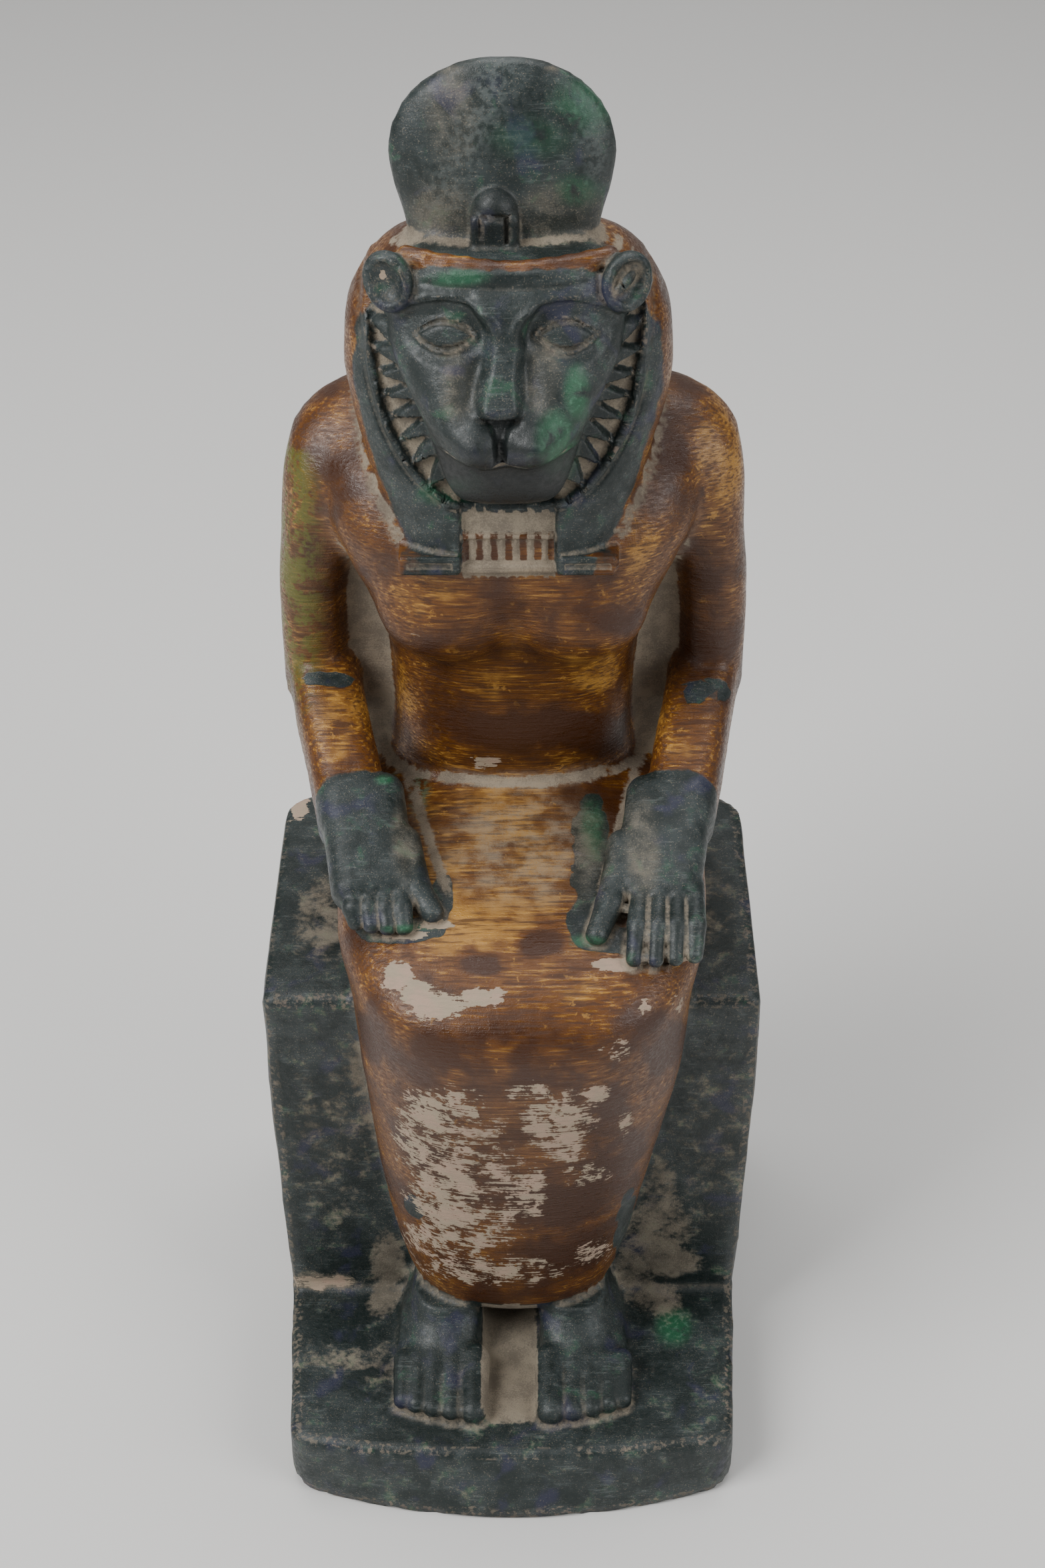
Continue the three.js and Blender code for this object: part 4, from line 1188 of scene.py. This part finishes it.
    dust = s.times(s.span(field["close"], 0.12, 0.65), s.span(fine, 0.3, 0.6, 0.2, 0.85))
    dust = s.times(dust, s.span(field["head"], 0, 1, 1, 0.45))
    laid = s.span(s.plus(field["bare"], about(fine, 0.9)), 0.25, 0.6)
    dust = s.most(dust, s.times(laid, s.span(field["bare"], 0, 0.3)))
    dust = s.times(dust, s.minus(1.0, field["shade_and_dark_paint"]))
    colour = s.mix(s.times(dust, 0.9), colour, dusty)
    veiled = s.times(field["veil"], s.span(s.plus(medium, about(grain, 0.5)), 0.35, 0.7, 0.1, 0.6))
    colour = s.mix(veiled, colour, DUST)
    # Painted shade: the cleft and the jaw under the mouth go near black; the muzzle is darker and the uraeus
    # is black paint.
    colour = s.mix(s.times(field["shade_and_dark_paint"], 0.85), colour, NEAR_BLACK)
    s.put(s.surface.inputs["Base Color"], colour)

    matt = s.most(s.most(flaked, dust), s.most(rubbed, veiled))
    matt = s.most(matt, s.times(bald, s.minus(1.0, is_lacquer)))
    gloss = s.blend(is_lacquer, s.span(fine, 0.3, 0.7, 0.34, 0.6), s.span(lines, 0.35, 0.65, 0.5, 0.24))
    s.put(s.surface.inputs["Roughness"], s.blend(matt, gloss, 0.85))
    s.surface.inputs["Specular IOR Level"].default_value = 0.5

    height = s.plus(s.times(lines, s.blend(is_lacquer, 0.15, 0.5)), s.times(grain, 0.25))
    height = s.plus(height, s.times(fine, 0.35))
    height = s.minus(height, s.times(flaked, 0.35))
    bump_node = s.node("ShaderNodeBump", {"Height": height, "Strength": 0.7, "Distance": 0.4 * MM})
    s.put(s.surface.inputs["Normal"], bump_node.outputs["Normal"])
    return s.material


def dress(mesh, points, normals):
    fields = finish_fields(points, normals)
    fields["close"], fields["sharp"] = occlusion(points, normals)
    for name, value in fields.items():
        layer = mesh.attributes.new(name, "FLOAT", "POINT")
        layer.data.foreach_set("value", value.astype(np.float32))


def statue():
    mesh, points, normals = sculpted()
    dress(mesh, points, normals)
    wobble = Noise(11)
    carved = 0.22 * wobble(points, 13) + 0.1 * wobble(points, 5) + 0.04 * wobble(points, 2)
    settled = smooth(UNDERSIDE + 0.2, UNDERSIDE + 2.5, points[:, 2])
    points = points + normals * (carved * settled)[:, None]
    world = (points + ORIGIN) * MM
    mesh.vertices.foreach_set("co", world.ravel())
    mesh.update()
    mesh.polygons.foreach_set("use_smooth", np.ones(len(mesh.polygons), bool))
    piece = bpy.data.objects.new("statue", mesh)
    bpy.context.scene.collection.objects.link(piece)
    mesh.materials.append(painted_stone())
    triangles = sum(len(face_.vertices) - 2 for face_ in mesh.polygons)
    print("statue:", len(mesh.polygons), "faces,", triangles, "triangles")
    return piece


piece = statue()
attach(piece, "root")
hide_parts(NODE)


# Floor, light and camera

def floor():
    mesh = bpy.data.meshes.new("floor")
    reach, rise, bend = 3.0, 2.2, 0.6
    back_y = 1.1
    profile = [(-reach, 0.0)]
    for i in range(13):
        a = math.pi / 2 * i / 12
        profile.append((back_y + bend * math.sin(a), bend * (1 - math.cos(a))))
    profile.append((back_y + bend, rise))
    vertices = [(x, y, z) for y, z in profile for x in (-reach, reach)]
    faces = [(2 * i, 2 * i + 1, 2 * i + 3, 2 * i + 2) for i in range(len(profile) - 1)]
    mesh.from_pydata(vertices, [], faces)
    mesh.polygons.foreach_set("use_smooth", np.ones(len(mesh.polygons), bool))
    made = bpy.data.objects.new("floor", mesh)
    bpy.context.scene.collection.objects.link(made)
    material = bpy.data.materials.new("pale_floor")
    material.use_nodes = True
    surface = material.node_tree.nodes["Principled BSDF"]
    surface.inputs["Base Color"].default_value = (0.72, 0.71, 0.69, 1)
    surface.inputs["Roughness"].default_value = 0.8
    mesh.materials.append(material)


def softbox(name, place, aim, size, power, colour=(1, 1, 1)):
    data = bpy.data.lights.new(name, "AREA")
    data.shape = "RECTANGLE"
    data.size, data.size_y = size
    data.energy = power
    data.color = colour
    made = bpy.data.objects.new(name, data)
    bpy.context.scene.collection.objects.link(made)
    made.location = place
    made.rotation_euler = (Vector(aim) - Vector(place)).to_track_quat("-Z", "Y").to_euler()


def camera():
    data = bpy.data.cameras.new("camera")
    made = bpy.data.objects.new("camera", data)
    bpy.context.scene.collection.objects.link(made)
    data.sensor_width = 36
    data.lens = data.sensor_width * FOCAL_PX / FRAME_HEIGHT_PX
    ahead = np.array([0, math.cos(LOOK_DOWN), -math.sin(LOOK_DOWN)])
    up = np.array([0, math.sin(LOOK_DOWN), math.cos(LOOK_DOWN)])
    seat_edge = np.array([0, THRONE_FRONT_Y, SEAT_TOP])
    place = seat_edge - SEAT_EDGE_DEPTH * ahead + SEAT_EDGE_DROP * up
    place[0] = (FRAME_MIDDLE_PX - THRONE_MIDDLE_PX) / FOCAL_PX * SEAT_EDGE_DEPTH
    made.location = place * MM
    made.rotation_euler = (math.pi / 2 - LOOK_DOWN, 0, 0)
    data.clip_start = 0.01
    bpy.context.scene.camera = made


def light():
    world = bpy.data.worlds.new("studio")
    world.use_nodes = True
    world.node_tree.nodes["Background"].inputs["Color"].default_value = (0.96, 0.97, 1.0, 1)
    world.node_tree.nodes["Background"].inputs["Strength"].default_value = 0.22
    bpy.context.scene.world = world
    middle = (0, 0, 0.16)
    softbox("key", (-0.75, -0.45, 0.95), middle, (0.6, 0.8), 15)
    softbox("fill", (0.85, -0.5, 0.7), middle, (0.6, 0.8), 6)
    softbox("top", (0.0, 0.35, 1.15), middle, (0.9, 0.5), 7)


floor()
camera()
light()
